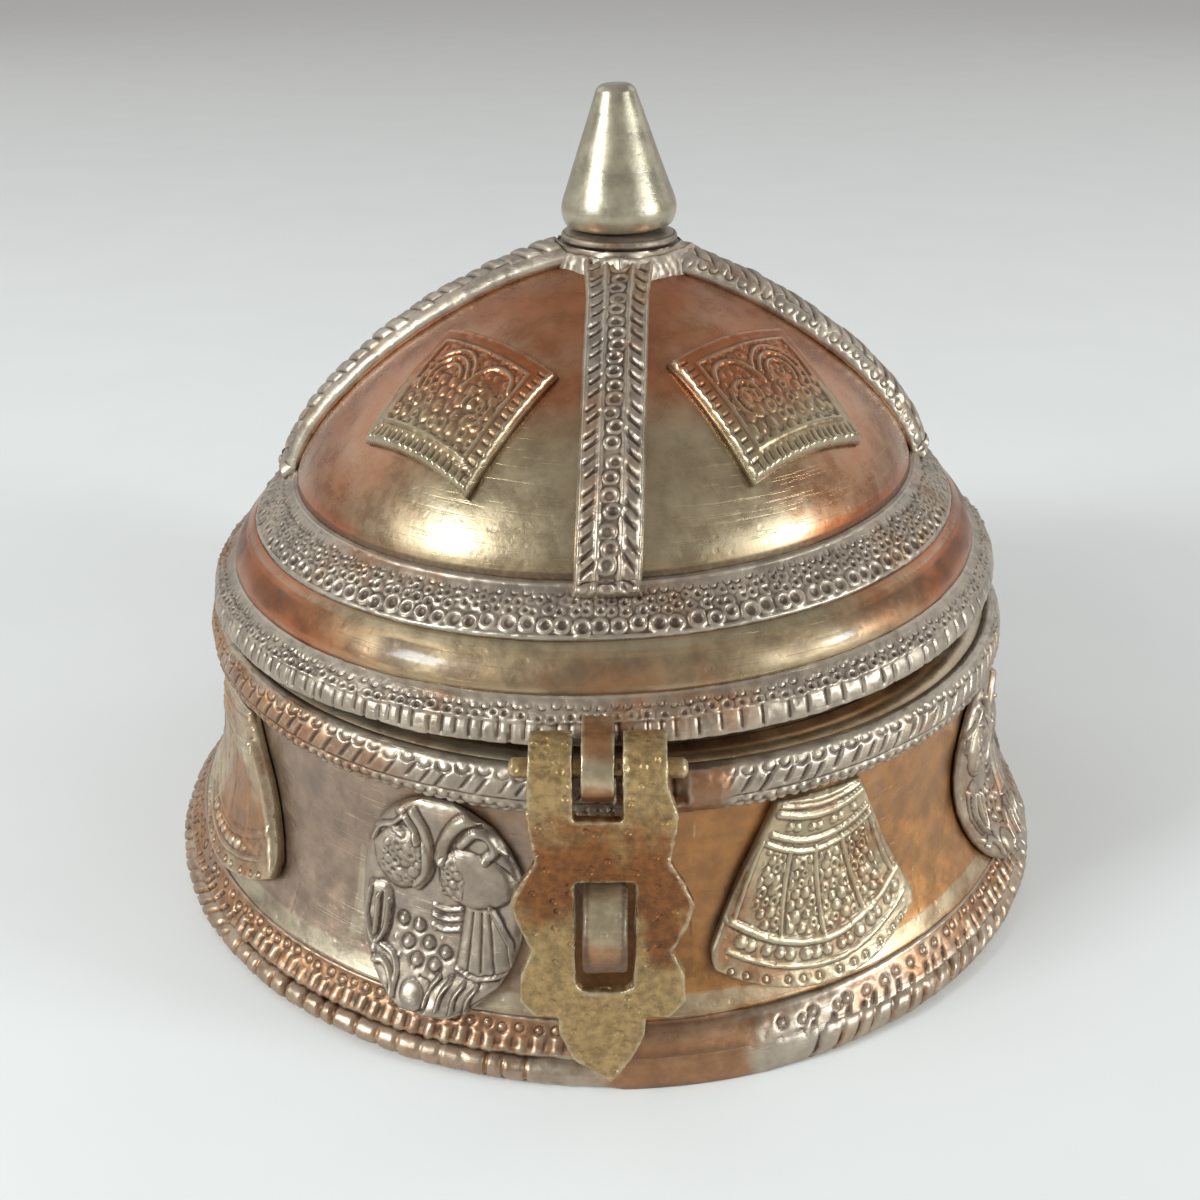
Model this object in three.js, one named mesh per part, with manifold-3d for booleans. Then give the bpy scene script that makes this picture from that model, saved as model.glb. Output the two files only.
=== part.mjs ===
// A betel box: a waisted brass bowl, a domed lid hinged at the back, and a hasp that
// drops over a staple at the front.
// Millimetres, +Z up. The box stands on Z = 0, centred on the Z axis, hasp towards -Y.
// An azimuth is an angle about Z from the hasp, growing towards +X.

import * as THREE from "three";
import { mergeVertices } from "three/addons/utils/BufferGeometryUtils.js";
import Module from "manifold-3d";

const wasm = await Module();
wasm.setup();

// Gaps between pieces
const SOLDER_GAP = 0.3;
const RUNNING_GAP = 0.3;
const RIVET_GAP = 0.3;

// Bowl: the ridge over the foot and the mouth's height set the rest
const RIDGE_RADIUS = 58.9;
const RIDGE_HEIGHT = 7.0;
const FOOT_FLARE = 2.0;
const FOOT_REBATE = 1.6;
const WAIST_INSET = 5.9;
const WAIST_SHARE = 0.695;
const WALL_CURVE = 2.1;
const MOUTH_INSET = 0.6;
const MOUTH_HEIGHT = 37.4;
const BOWL_WALL = 2.2;
const BOWL_FLOOR = 2.4;
const LIP_DEPTH = 3.0;
const LIP_SLOPE = 3.2;

// Wires and collar on the bowl
const FOOT_WIRE_DIAMETER = 3.0;
const FOOT_WIRE_LIFT = 0.1;
const FOOT_WIRE_SIDES = 8;
const RIM_WIRE_HEIGHT = 5.5;
const RIM_WIRE_BULGE = 1.6;
const COLLAR_INSET = 4.5;
const COLLAR_THICKNESS = 1.5;
const COLLAR_RISE = 5.5;
const COLLAR_DEPTH = 5.6;

// Lid shell, with its rim level
const LID_GAP = 3.3;
const LID_OVERHANG = 1.0;
const LID_RIM_HEIGHT = 4.5;
const LID_RIM_LEAN = 3.2;
const SHOULDER_HEIGHT = 5.0;
const SHOULDER_DEPTH = 3.3;
const SHOULDER_CURVE = 1.8;
const BAND_HEIGHT = 4.5;
const BAND_LEAN = 5.7;
const DOME_SHARE = 0.67;
const DOME_CURVE = 1.45;
const LID_WALL = 1.9;
const LID_SEAT_PLAY = 1.5;
const LID_SEAT_WIDTH = 2.0;

// The lid sits askew: it rises to the right, and its middle is left of the bowl's
const LID_RISE_RIGHT = 0.034;
const LID_ASIDE = 0.5;

// Pieces soldered on the lid
const RIB_WIDTH = 7.4;
const RIB_THICKNESS = 1.5;
const RIB_FOOT = 1.9;
const RIB_FOOT_X = 0.1;
const RIB_BEND = 1.3;
const LID_PLATE_WIDTH = 18.8;
const LID_PLATE_LENGTH = 14.3;
const LID_PLATE_THICKNESS = 1.2;
// Where each plate faces, and how far it sits aside of that line and from the middle, as
// shares of the dome's radius.
const LID_PLATES = [
  { azimuth: -45, side: 0.097, near: 0.495 },
  { azimuth: 42, side: 0, near: 0.524 },
  { azimuth: 135, side: 0, near: 0.51 },
  { azimuth: -135, side: 0, near: 0.51 },
];
const CROWN_X = 1.6;
const CROWN_RADIUS = 10.2;
const CROWN_TOP_THICKNESS = 0.6;
const CROWN_BEVEL_DROP = 1.6;
const CROWN_STEP = 0.2;

// Finial
const FINIAL_COLLAR_RADIUS = 7.4;
const FINIAL_COLLAR_HEIGHT = 1.0;
const FINIAL_SEAT_GAP = 0.6;
const FINIAL_RADIUS = 7.3;
const FINIAL_HEIGHT = 17.2;
const FINIAL_BELLY_HEIGHT = 1.9;
const FINIAL_TIP_RADIUS = 2.45;
const FINIAL_LEAN = -0.033;
const STEM_RADIUS = 2.0;
const STEM_GAP = 0.6;
const STEM_HEAD_RADIUS = 3.2;
const STEM_HEAD_HEIGHT = 1.2;

// Panels on the wall, from the hasp round to the right
const PANELS = [
  { motif: "bird", azimuth: -20.5 },
  { motif: "bell", azimuth: 27 },
  { motif: "bird", azimuth: 67 },
  { motif: "bell", azimuth: 112 },
  { motif: "bird", azimuth: 157 },
  { motif: "bell", azimuth: -158 },
  { motif: "bird", azimuth: -108 },
  { motif: "bell", azimuth: -61 },
];
const PANEL_THICKNESS = 1.3;
const PANEL_TOP_GAP = 0.7;
const BELL_TOP_ANGLE = 6.0;
const BELL_FOOT_ANGLE = 15.5;
const BELL_SHARE = 0.743;
const BELL_FOOT_SAG = 4.0;
const BIRD_ANGLE = 11.0;
const BIRD_SHARE = 0.813;
const BIRD_END_SHARE = 0.3;

// Pins, knuckles and lugs
const PIN_RADIUS = 1.1;
const PIN_STICK_OUT = 2.2;
const KNUCKLE_RADIUS = 4.0;
const KNUCKLE_WIDTH = 4.6;
const KNUCKLE_SIDE_GAP = 0.85;
const LUG_RADIUS = 3.6;
const LUG_WIDTH = 3.5;
const LUG_SHANK_HEIGHT = 2.2;
const LUG_SHANK_LIFT = 0.7;
const LUG_SHANK_END = 0.2;
const PIN_STAND_OFF = 4.5;
const PIN_ABOVE_LID_EDGE = 0.3;

// Hasp
const HASP_ASIDE = 0.8;
const HASP_TIP_HEIGHT = 3.2;
const HASP_HALF_WIDTH = 9.6;
const HASP_PLATE_SHIFT = 0.5;
const HASP_TIP_X = 1.5;
const HASP_THICKNESS = 1.4;
const HASP_LEAN = THREE.MathUtils.degToRad(4.0);
const HASP_WINDOW_BELOW_STAPLE = 3.7;
const HASP_WINDOW_CORNER = 1.6;
// One side of the hasp's cut edge: shares of its half width and of its length.
const HASP_EDGE = [
  [0.83, 0.1],
  [0.79, 0.17],
  [0.74, 0.24],
  [0.9, 0.31],
  [1.02, 0.38],
  [0.93, 0.46],
  [0.79, 0.535],
  [0.93, 0.62],
  [0.95, 0.71],
  [0.77, 0.765],
  [0.51, 0.765],
  [0.49, 0.83],
  [0.33, 0.92],
];

// Staple
const STAPLE_WIDTH = 4.7;
const STAPLE_THICKNESS = 1.6;
const STAPLE_HEIGHT = 9.8;
const STAPLE_BOTTOM_SHARE = 0.513;
const STAPLE_NOSE_STEPS = 8;
const STAPLE_REACH = 4.4;
const STAPLE_CLINCH = 3.0;
const STAPLE_SIDE_GAP = 0.8;
const STAPLE_TOP_GAP = 0.4;

// Hinge at the back
const LEAF_THICKNESS = 1.5;
const LEAF_BOTTOM_SHARE = 0.48;
const LEAF_RIVET_SHARE = 0.63;
const LEAF_RIVET_SPACING = 8.0;
const RIVET_RADIUS = 1.1;
const RIVET_HEAD_RADIUS = 2.1;
const RIVET_HEAD_HEIGHT = 1.1;

// Facets
const ROUND_STEPS = 48;
const SMALL_STEPS = 16;
const WALL_STEPS = 6;
const DOME_STEPS = 9;

const FRONT = 0;
const BACK = Math.PI;
const rad = THREE.MathUtils.degToRad;

// Worked-out heights and radii
const waistRadius = RIDGE_RADIUS - WAIST_INSET;
const waistHeight = WAIST_SHARE * MOUTH_HEIGHT;
const mouthRadius = waistRadius - MOUTH_INSET;
const collarRadius = mouthRadius - COLLAR_INSET;
const lidRimRadius = mouthRadius + LID_OVERHANG;
const lidEdge = MOUTH_HEIGHT + LID_GAP;
const grooveHeight = lidEdge + LID_RIM_HEIGHT;
const grooveRadius = lidRimRadius - LID_RIM_LEAN;
const bandFoot = grooveHeight + SHOULDER_HEIGHT;
const bandFootRadius = grooveRadius - SHOULDER_DEPTH;
const domeFoot = bandFoot + BAND_HEIGHT;
const domeRadius = bandFootRadius - BAND_LEAN;
const domeHeight = DOME_SHARE * domeRadius;
const seatHeight = lidEdge + LID_RIM_HEIGHT - SOLDER_GAP;
const collarTop = MOUTH_HEIGHT + COLLAR_RISE;
const rimWireFoot = MOUTH_HEIGHT - RIM_WIRE_HEIGHT + SOLDER_GAP;
const rimWireInner = Math.max(wallRadius(rimWireFoot), mouthRadius) + SOLDER_GAP;
const rimWireOuter = rimWireInner + RIM_WIRE_BULGE;
const lidBore = collarRadius + LID_SEAT_PLAY;
const crownTop = domeFoot + domeHeight + SOLDER_GAP + CROWN_TOP_THICKNESS;
const collarBottom = crownTop + SOLDER_GAP;
const finialBottom = collarBottom + FINIAL_COLLAR_HEIGHT + FINIAL_SEAT_GAP;
const stemHole = STEM_RADIUS + STEM_GAP;
const pinY = lidRimRadius + PIN_STAND_OFF;
const pinZ = lidEdge + PIN_ABOVE_LID_EDGE;
const haspX = -HASP_ASIDE;
const haspLength = (pinZ - HASP_TIP_HEIGHT) / Math.cos(HASP_LEAN);
const stapleBottom = STAPLE_BOTTOM_SHARE * MOUTH_HEIGHT;
const rivetHeight = LEAF_RIVET_SHARE * MOUTH_HEIGHT;
const bore = PIN_RADIUS + RUNNING_GAP;
const knuckleOffset = LUG_WIDTH / 2 + KNUCKLE_SIDE_GAP + KNUCKLE_WIDTH / 2;
const knucklesWidth = 2 * knuckleOffset + KNUCKLE_WIDTH;

// Solids and meshes

function solidOf(geometry) {
  const bare = geometry.clone();
  bare.deleteAttribute("normal");
  bare.deleteAttribute("uv");
  const merged = mergeVertices(bare, 1e-4);
  return new wasm.Manifold(
    new wasm.Mesh({
      numProp: 3,
      vertProperties: new Float32Array(merged.attributes.position.array),
      triVerts: new Uint32Array(merged.index.array),
    }),
  );
}

function geometryOf(solid) {
  const { vertProperties, triVerts } = solid.getMesh();
  const geometry = new THREE.BufferGeometry();
  geometry.setAttribute("position", new THREE.BufferAttribute(vertProperties, 3));
  geometry.setIndex(new THREE.BufferAttribute(triVerts, 1));
  geometry.computeVertexNormals();
  return geometry;
}

function cutAway(geometry, cutters) {
  const cut = cutters.reduce((solid, cutter) => solid.subtract(solidOf(cutter)), solidOf(geometry));
  return geometryOf(cut);
}

function joined(geometries) {
  return geometryOf(geometries.map(solidOf).reduce((whole, solid) => whole.add(solid)));
}

const brass = (color, roughness) =>
  new THREE.MeshStandardMaterial({ color, roughness, metalness: 0.9 });

const finishes = {
  wall: brass(0x8c5a3c, 0.45),
  dome: brass(0x84704e, 0.35),
  relief: brass(0x8e7a70, 0.5),
  hardware: brass(0x96733c, 0.5),
  finial: brass(0x8a8568, 0.3),
  inside: brass(0x4a3a2c, 0.7),
};

function piece(name, geometry, finish) {
  const mesh = new THREE.Mesh(geometry, finishes[finish].clone());
  mesh.name = name;
  return mesh;
}

// A ring or dish turned about Z from [radius, height] points, anticlockwise when the
// radius runs to the right and the height runs up.
function turned(profile, steps = ROUND_STEPS) {
  const points = profile.map(([radius, height]) => new THREE.Vector2(radius, height));
  if (points[0].x > 0) points.push(points[0].clone());
  const geometry = new THREE.LatheGeometry(points, steps);
  return geometry.rotateX(Math.PI / 2);
}

// A side view drawn in Y and Z, given its width along X about the middle.
function wideShape(shape, width, curveSegments = SMALL_STEPS) {
  const geometry = new THREE.ExtrudeGeometry(shape, {
    depth: width,
    bevelEnabled: false,
    curveSegments,
  });
  geometry.translate(0, 0, -width / 2);
  const across = new THREE.Matrix4().makeBasis(
    new THREE.Vector3(0, 1, 0),
    new THREE.Vector3(0, 0, 1),
    new THREE.Vector3(1, 0, 0),
  );
  return geometry.applyMatrix4(across);
}

// A strip of even thickness about a line of Vector2 points, with mitred corners.
function strap(line, thickness) {
  const sides = line.map((point, i) => {
    const before = line[Math.max(i - 1, 0)];
    const after = line[Math.min(i + 1, line.length - 1)];
    const along = point.clone().sub(before).normalize();
    const onwards = after.clone().sub(point).normalize();
    const way = along.clone().add(onwards).normalize();
    const mitre = thickness / 2 / Math.max(way.dot(i ? along : onwards), 0.5);
    return new THREE.Vector2(-way.y, way.x).multiplyScalar(mitre);
  });
  const left = line.map((point, i) => point.clone().add(sides[i]));
  const right = line.map((point, i) => point.clone().sub(sides[i]));
  return new THREE.Shape([...right, ...left.reverse()]);
}

function rodAlongX(radius, length, steps = SMALL_STEPS) {
  return new THREE.CylinderGeometry(radius, radius, length, steps).rotateZ(Math.PI / 2);
}

// A sheet bent over a surface. The surface maps across (-1 to 1), up (0 to 1) and the
// share of the thickness (0 at the back, 1 at the face) to a Vector3.
function bentSheet(surface, acrossSteps, upSteps) {
  const geometry = new THREE.BoxGeometry(2, 1, 1, acrossSteps, upSteps, 1);
  const position = geometry.attributes.position;
  for (let i = 0; i < position.count; i += 1) {
    const bent = surface(position.getX(i), position.getY(i) + 0.5, position.getZ(i) + 0.5);
    position.setXYZ(i, bent.x, bent.y, bent.z);
  }
  return geometry;
}

function aroundZ(radius, azimuth, height) {
  return new THREE.Vector3(radius * Math.sin(azimuth), -radius * Math.cos(azimuth), height);
}

// Bowl

function wallRadius(height) {
  if (height >= waistHeight) {
    const share = (height - waistHeight) / (MOUTH_HEIGHT - waistHeight);
    return waistRadius + (mouthRadius - waistRadius) * share;
  }
  const drop = (waistHeight - height) / (waistHeight - RIDGE_HEIGHT);
  return waistRadius + (RIDGE_RADIUS - waistRadius) * drop ** WALL_CURVE;
}

function wallLine(inset, from, to) {
  return Array.from({ length: WALL_STEPS + 1 }, (_, i) => {
    const height = from + ((to - from) * i) / WALL_STEPS;
    return [wallRadius(height) - inset, height];
  });
}

const lipFoot = MOUTH_HEIGHT - LIP_DEPTH;
const lipRadius = collarRadius + SOLDER_GAP;
const footWireRadius = FOOT_WIRE_DIAMETER / 2;
const footTop = FOOT_WIRE_DIAMETER + FOOT_WIRE_LIFT + SOLDER_GAP;
const footRadius = RIDGE_RADIUS + FOOT_FLARE - FOOT_REBATE;
const staplePlaces = [
  stapleBottom + STAPLE_THICKNESS / 2,
  stapleBottom + STAPLE_HEIGHT - STAPLE_THICKNESS / 2,
];
const rivetPlaces = [-LEAF_RIVET_SPACING / 2, LEAF_RIVET_SPACING / 2];

function bowlShell() {
  const outside = [
    [footRadius, 0],
    [footRadius, footTop],
    [RIDGE_RADIUS + FOOT_FLARE, footTop],
    ...wallLine(0, RIDGE_HEIGHT, waistHeight),
    [mouthRadius, MOUTH_HEIGHT],
  ];
  const inside = [
    [lipRadius, MOUTH_HEIGHT],
    [lipRadius, lipFoot],
    [wallRadius(lipFoot) - BOWL_WALL, lipFoot - LIP_SLOPE],
    ...wallLine(BOWL_WALL, waistHeight, RIDGE_HEIGHT),
    [wallRadius(RIDGE_HEIGHT) - 2 * BOWL_WALL, BOWL_FLOOR],
  ];
  return turned([[0, 0], ...outside, ...inside, [0, BOWL_FLOOR]]);
}

function stapleSlot(height) {
  const slot = new THREE.BoxGeometry(
    STAPLE_WIDTH + 2 * SOLDER_GAP,
    4 * BOWL_WALL,
    STAPLE_THICKNESS + 2 * SOLDER_GAP,
  );
  return slot.translate(0, -wallRadius(height), height);
}

function rivetHole(x) {
  const hole = new THREE.CylinderGeometry(
    RIVET_RADIUS + RIVET_GAP,
    RIVET_RADIUS + RIVET_GAP,
    6 * BOWL_WALL,
    SMALL_STEPS,
  );
  return hole.translate(x, wallRadius(rivetHeight), rivetHeight);
}

function bowl() {
  const cutters = [...staplePlaces.map(stapleSlot), ...rivetPlaces.map(rivetHole)];
  return piece("bowl", cutAway(bowlShell(), cutters), "wall");
}

function footWire() {
  const wireCentre = footRadius + SOLDER_GAP + footWireRadius;
  const section = Array.from({ length: FOOT_WIRE_SIDES }, (_, i) => {
    const angle = (2 * Math.PI * i) / FOOT_WIRE_SIDES;
    return [
      wireCentre + footWireRadius * Math.cos(angle),
      FOOT_WIRE_LIFT + footWireRadius + footWireRadius * Math.sin(angle),
    ];
  });
  return piece("foot_wire", turned(section), "relief");
}

function rimWire() {
  const top = MOUTH_HEIGHT + SOLDER_GAP;
  const height = top - rimWireFoot;
  const section = [
    [rimWireInner, rimWireFoot],
    [rimWireInner + 0.5 * RIM_WIRE_BULGE, rimWireFoot],
    [rimWireOuter, rimWireFoot + 0.3 * height],
    [rimWireOuter, rimWireFoot + 0.6 * height],
    [rimWireInner + 0.6 * RIM_WIRE_BULGE, top - 0.1 * height],
    [rimWireInner, top],
  ];
  return piece("rim_wire", turned(section), "relief");
}

function bowlCollar() {
  const inner = collarRadius - COLLAR_THICKNESS;
  const bottom = MOUTH_HEIGHT - COLLAR_DEPTH;
  const section = [
    [inner, bottom],
    [collarRadius, bottom],
    [collarRadius, collarTop],
    [inner, collarTop],
  ];
  return piece("bowl_collar", turned(section), "inside");
}

// Panels

const panelTop = rimWireFoot - PANEL_TOP_GAP;

function bellSurface(centre) {
  const spread = BELL_FOOT_ANGLE - BELL_TOP_ANGLE;
  return (across, up, face) => {
    const halfAngle = BELL_TOP_ANGLE + spread * (1 - up);
    const sag = BELL_FOOT_SAG * across ** 2 * (1 - up);
    const height = panelTop * (1 - BELL_SHARE * (1 - up)) + sag;
    const out = SOLDER_GAP + PANEL_THICKNESS * face;
    return aroundZ(wallRadius(height) + out, rad(centre + across * halfAngle), height);
  };
}

function birdSurface(centre) {
  return (across, up, face) => {
    const round = Math.sqrt(1 - (1 - BIRD_END_SHARE ** 2) * (2 * up - 1) ** 2);
    const height = panelTop * (1 - BIRD_SHARE * (1 - up));
    const out = SOLDER_GAP + PANEL_THICKNESS * face;
    return aroundZ(wallRadius(height) + out, rad(centre + across * BIRD_ANGLE * round), height);
  };
}

const panelSurfaces = { bell: bellSurface, bird: birdSurface };

function panels() {
  return PANELS.map(({ motif, azimuth }, i) => {
    const sheet = bentSheet(panelSurfaces[motif](azimuth), 6, 8);
    return piece(`${motif}_panel_${i + 1}`, sheet, "relief");
  });
}

// Lid

// A point of the dome's skin at a share of its rise, with its outward slope.
function domeSkin(share, inset = 0) {
  const angle = (share * Math.PI) / 2;
  const across = Math.cos(angle) ** (2 / DOME_CURVE);
  const up = Math.sin(angle) ** (2 / DOME_CURVE);
  const radius = (domeRadius - inset) * across;
  const height = domeFoot + (domeHeight - inset) * up;
  const slope = new THREE.Vector2(
    across ** (DOME_CURVE - 1) / domeRadius,
    up ** (DOME_CURVE - 1) / domeHeight,
  );
  return { radius, height, slope: slope.normalize() };
}

function domeShare(radius) {
  return (Math.acos((radius / domeRadius) ** (DOME_CURVE / 2)) * 2) / Math.PI;
}

function domeLine(inset) {
  const line = Array.from({ length: DOME_STEPS }, (_, i) => {
    const { radius, height } = domeSkin(i / DOME_STEPS, inset);
    return [radius, height];
  });
  return [...line, [0, domeFoot + domeHeight - inset]];
}

// How the lid sits on the bowl: off to one side, and rising to the right.
const askew = new THREE.Matrix4().set(
  1, 0, 0, -LID_ASIDE,
  0, 1, 0, 0,
  LID_RISE_RIGHT, 0, 1, 0,
  0, 0, 0, 1,
);

function lidShell() {
  const shoulder = [0.3, 0.65].map((up) => [
    grooveRadius - SHOULDER_DEPTH * up ** SHOULDER_CURVE,
    grooveHeight + SHOULDER_HEIGHT * up,
  ]);
  const outside = [
    [lidRimRadius, lidEdge],
    [lidRimRadius - 0.2 * LID_RIM_LEAN, lidEdge + 0.5 * LID_RIM_HEIGHT],
    [grooveRadius, grooveHeight],
    ...shoulder,
    [bandFootRadius, bandFoot],
    ...domeLine(0),
  ];
  const inside = [
    ...domeLine(LID_WALL).reverse(),
    [bandFootRadius - 1.4 * LID_WALL, bandFoot],
    [lidBore - LID_SEAT_WIDTH, seatHeight],
    [lidBore, seatHeight],
    [lidBore, lidEdge],
  ];
  return turned([...inside, ...outside]).applyMatrix4(askew);
}

// An upright rod on the finial's axis, to cut holes and rib ends with.
function crownRod(radius, steps) {
  const rod = new THREE.CylinderGeometry(radius, radius, domeHeight, steps);
  return rod.rotateX(Math.PI / 2).translate(CROWN_X, 0, crownTop);
}

function lugSlot(azimuth, x) {
  const slot = new THREE.BoxGeometry(
    LUG_WIDTH + 2 * SOLDER_GAP,
    4 * (lidRimRadius - lidBore),
    LUG_SHANK_HEIGHT + 2 * SOLDER_GAP,
  );
  slot.translate(x, -lidRimRadius, pinZ + LUG_SHANK_LIFT + LUG_SHANK_HEIGHT / 2);
  return slot.rotateZ(azimuth);
}

function lid() {
  const cutters = [lugSlot(FRONT, haspX), lugSlot(BACK, 0), crownRod(stemHole, SMALL_STEPS)];
  return piece("lid_shell", cutAway(lidShell(), cutters), "dome");
}

// A rib stands on the band at the dome's foot and runs up to the crown plate. The front
// and back ribs bend sideways, from the dome's middle line to the crown's.
function ribs() {
  const steps = 12;
  const top = domeShare(0.7 * CROWN_RADIUS);
  const line = Array.from({ length: steps + 1 }, (_, i) => domeSkin((top * i) / steps));
  const bandSlope = new THREE.Vector2(BAND_HEIGHT, bandFootRadius - domeRadius).normalize();
  const foot = {
    radius: domeRadius + RIB_FOOT,
    height: domeFoot - (RIB_FOOT * bandSlope.x) / bandSlope.y,
    slope: bandSlope,
  };
  line[0].slope.add(bandSlope).normalize();
  line.unshift(foot);
  const rows = line.length - 1;
  const names = ["front", "right", "back", "left"];
  return names.map((name, i) => {
    const turn = (i * Math.PI) / 2;
    const surface = (across, up, face) => {
      const { radius, height, slope } = line[Math.round(up * rows)];
      const out = SOLDER_GAP + RIB_THICKNESS * face;
      const bentX = RIB_FOOT_X + (CROWN_X - RIB_FOOT_X) * up ** RIB_BEND + LID_ASIDE;
      const side = (across * RIB_WIDTH) / 2 + bentX * Math.cos(turn);
      const azimuth = turn + Math.asin(side / radius);
      return aroundZ(radius + slope.x * out, azimuth, height + slope.y * out);
    };
    const sheet = bentSheet(surface, 2, rows).applyMatrix4(askew);
    const ended = cutAway(sheet, [crownRod(CROWN_RADIUS + SOLDER_GAP, ROUND_STEPS)]);
    return piece(`lid_rib_${name}`, ended, "relief");
  });
}

function lidPlates() {
  return LID_PLATES.map(({ azimuth, side, near }, i) => {
    const surface = (across, up, face) => {
      const aside = side * domeRadius + (across * LID_PLATE_WIDTH) / 2;
      const outwards = near * domeRadius + LID_PLATE_LENGTH * (1 - up);
      const { radius, height, slope } = domeSkin(domeShare(Math.hypot(aside, outwards)));
      const out = SOLDER_GAP + LID_PLATE_THICKNESS * face;
      const turn = rad(azimuth) + Math.atan2(aside, outwards);
      return aroundZ(radius + slope.x * out, turn, height + slope.y * out);
    };
    return piece(`lid_plate_${i + 1}`, bentSheet(surface, 5, 5).applyMatrix4(askew), "relief");
  });
}

// A round boss on the finial's axis, hollowed beneath to fit the dome.
function crownPlate() {
  const low = crownTop - 0.5 * CROWN_RADIUS;
  const flat = FINIAL_COLLAR_RADIUS + CROWN_STEP;
  const puck = turned(
    [
      [stemHole, low],
      [CROWN_RADIUS, low],
      [CROWN_RADIUS, crownTop - CROWN_BEVEL_DROP],
      [(CROWN_RADIUS + flat) / 2, crownTop - 0.4 * CROWN_BEVEL_DROP],
      [flat, crownTop],
      [stemHole, crownTop],
    ],
    ROUND_STEPS / 2,
  );
  puck.translate(CROWN_X, 0, 0);
  const domeSolid = turned([[0, 0], [domeRadius, 0], ...domeLine(-SOLDER_GAP)]);
  return piece("crown_plate", cutAway(puck, [domeSolid.applyMatrix4(askew)]), "relief");
}

function finialCollar() {
  const top = collarBottom + FINIAL_COLLAR_HEIGHT;
  const section = [
    [stemHole, collarBottom],
    [0.97 * FINIAL_COLLAR_RADIUS, collarBottom],
    [FINIAL_COLLAR_RADIUS, collarBottom + 0.4 * FINIAL_COLLAR_HEIGHT],
    [0.93 * FINIAL_COLLAR_RADIUS, top],
    [stemHole, top],
  ];
  const mesh = piece("finial_collar", turned(section, ROUND_STEPS / 2), "relief");
  mesh.position.x = CROWN_X;
  return mesh;
}

// The finial's stem passes through collar, crown plate and dome, and is headed inside.
function finial() {
  const headReach = STEM_HEAD_RADIUS + CROWN_X + LID_ASIDE;
  const underDome = domeSkin(domeShare(headReach), LID_WALL).height;
  const headTop = underDome - 2 * SOLDER_GAP - finialBottom;
  const section = [
    [0, headTop - STEM_HEAD_HEIGHT],
    [0.7 * STEM_HEAD_RADIUS, headTop - STEM_HEAD_HEIGHT],
    [STEM_HEAD_RADIUS, headTop - 0.5 * STEM_HEAD_HEIGHT],
    [STEM_HEAD_RADIUS, headTop],
    [STEM_RADIUS, headTop],
    [STEM_RADIUS, 0],
    [0.82 * FINIAL_RADIUS, 0],
    [0.95 * FINIAL_RADIUS, 0.35 * FINIAL_BELLY_HEIGHT],
    [FINIAL_RADIUS, FINIAL_BELLY_HEIGHT],
    [0.975 * FINIAL_RADIUS, 1.9 * FINIAL_BELLY_HEIGHT],
    [FINIAL_TIP_RADIUS, FINIAL_HEIGHT - 0.3 * FINIAL_TIP_RADIUS],
    [0.7 * FINIAL_TIP_RADIUS, FINIAL_HEIGHT],
    [0, FINIAL_HEIGHT],
  ];
  const mesh = piece("finial", turned(section, ROUND_STEPS / 2), "finial");
  mesh.position.set(CROWN_X, 0, finialBottom);
  mesh.rotation.y = FINIAL_LEAN;
  return mesh;
}

// Lugs on the lid's rim, knuckles and pins

// A strap loop round a pin, with a shank that runs through the lid's rim.
function lug(name, azimuth, x) {
  const low = LUG_SHANK_LIFT;
  const high = LUG_SHANK_LIFT + LUG_SHANK_HEIGHT;
  const shankEnd = pinY - lidBore + LUG_SHANK_END;
  const loop = new THREE.Shape();
  loop.moveTo(shankEnd, low);
  loop.lineTo(shankEnd, high);
  loop.lineTo(Math.sqrt(LUG_RADIUS ** 2 - high ** 2), high);
  loop.absarc(0, 0, LUG_RADIUS, Math.asin(high / LUG_RADIUS), 2 * Math.PI + Math.asin(low / LUG_RADIUS));
  const hole = new THREE.Path();
  hole.absarc(0, 0, bore, 0, 2 * Math.PI, true);
  loop.holes.push(hole);
  const mesh = piece(name, wideShape(loop, LUG_WIDTH), "hardware");
  const stand = new THREE.Group();
  stand.rotation.z = azimuth;
  mesh.position.set(x, -pinY, pinZ);
  stand.add(mesh);
  return stand;
}

function pin(name, y, x) {
  const half = knucklesWidth / 2 + PIN_STICK_OUT;
  const section = [
    [0, -half],
    [0.6 * PIN_RADIUS, -half],
    [PIN_RADIUS, -half + 0.4 * PIN_RADIUS],
    [PIN_RADIUS, half - 0.4 * PIN_RADIUS],
    [0.6 * PIN_RADIUS, half],
    [0, half],
  ];
  const mesh = piece(name, turned(section, SMALL_STEPS), "hardware");
  mesh.rotation.y = Math.PI / 2;
  mesh.position.set(x, y, pinZ);
  return mesh;
}

// Two knuckles on the pin's axis, joined to a plate, bored and parted for the lug.
function knuckled(plate) {
  const rolls = [-knuckleOffset, knuckleOffset].map((x) =>
    rodAlongX(KNUCKLE_RADIUS, KNUCKLE_WIDTH, ROUND_STEPS / 2).translate(x, 0, 0),
  );
  const parting = new THREE.BoxGeometry(
    LUG_WIDTH + 2 * KNUCKLE_SIDE_GAP,
    4 * LUG_RADIUS,
    2 * (LUG_RADIUS + RUNNING_GAP),
  );
  return cutAway(joined([plate, ...rolls]), [rodAlongX(bore, 2 * knucklesWidth), parting]);
}

// Hasp

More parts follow.
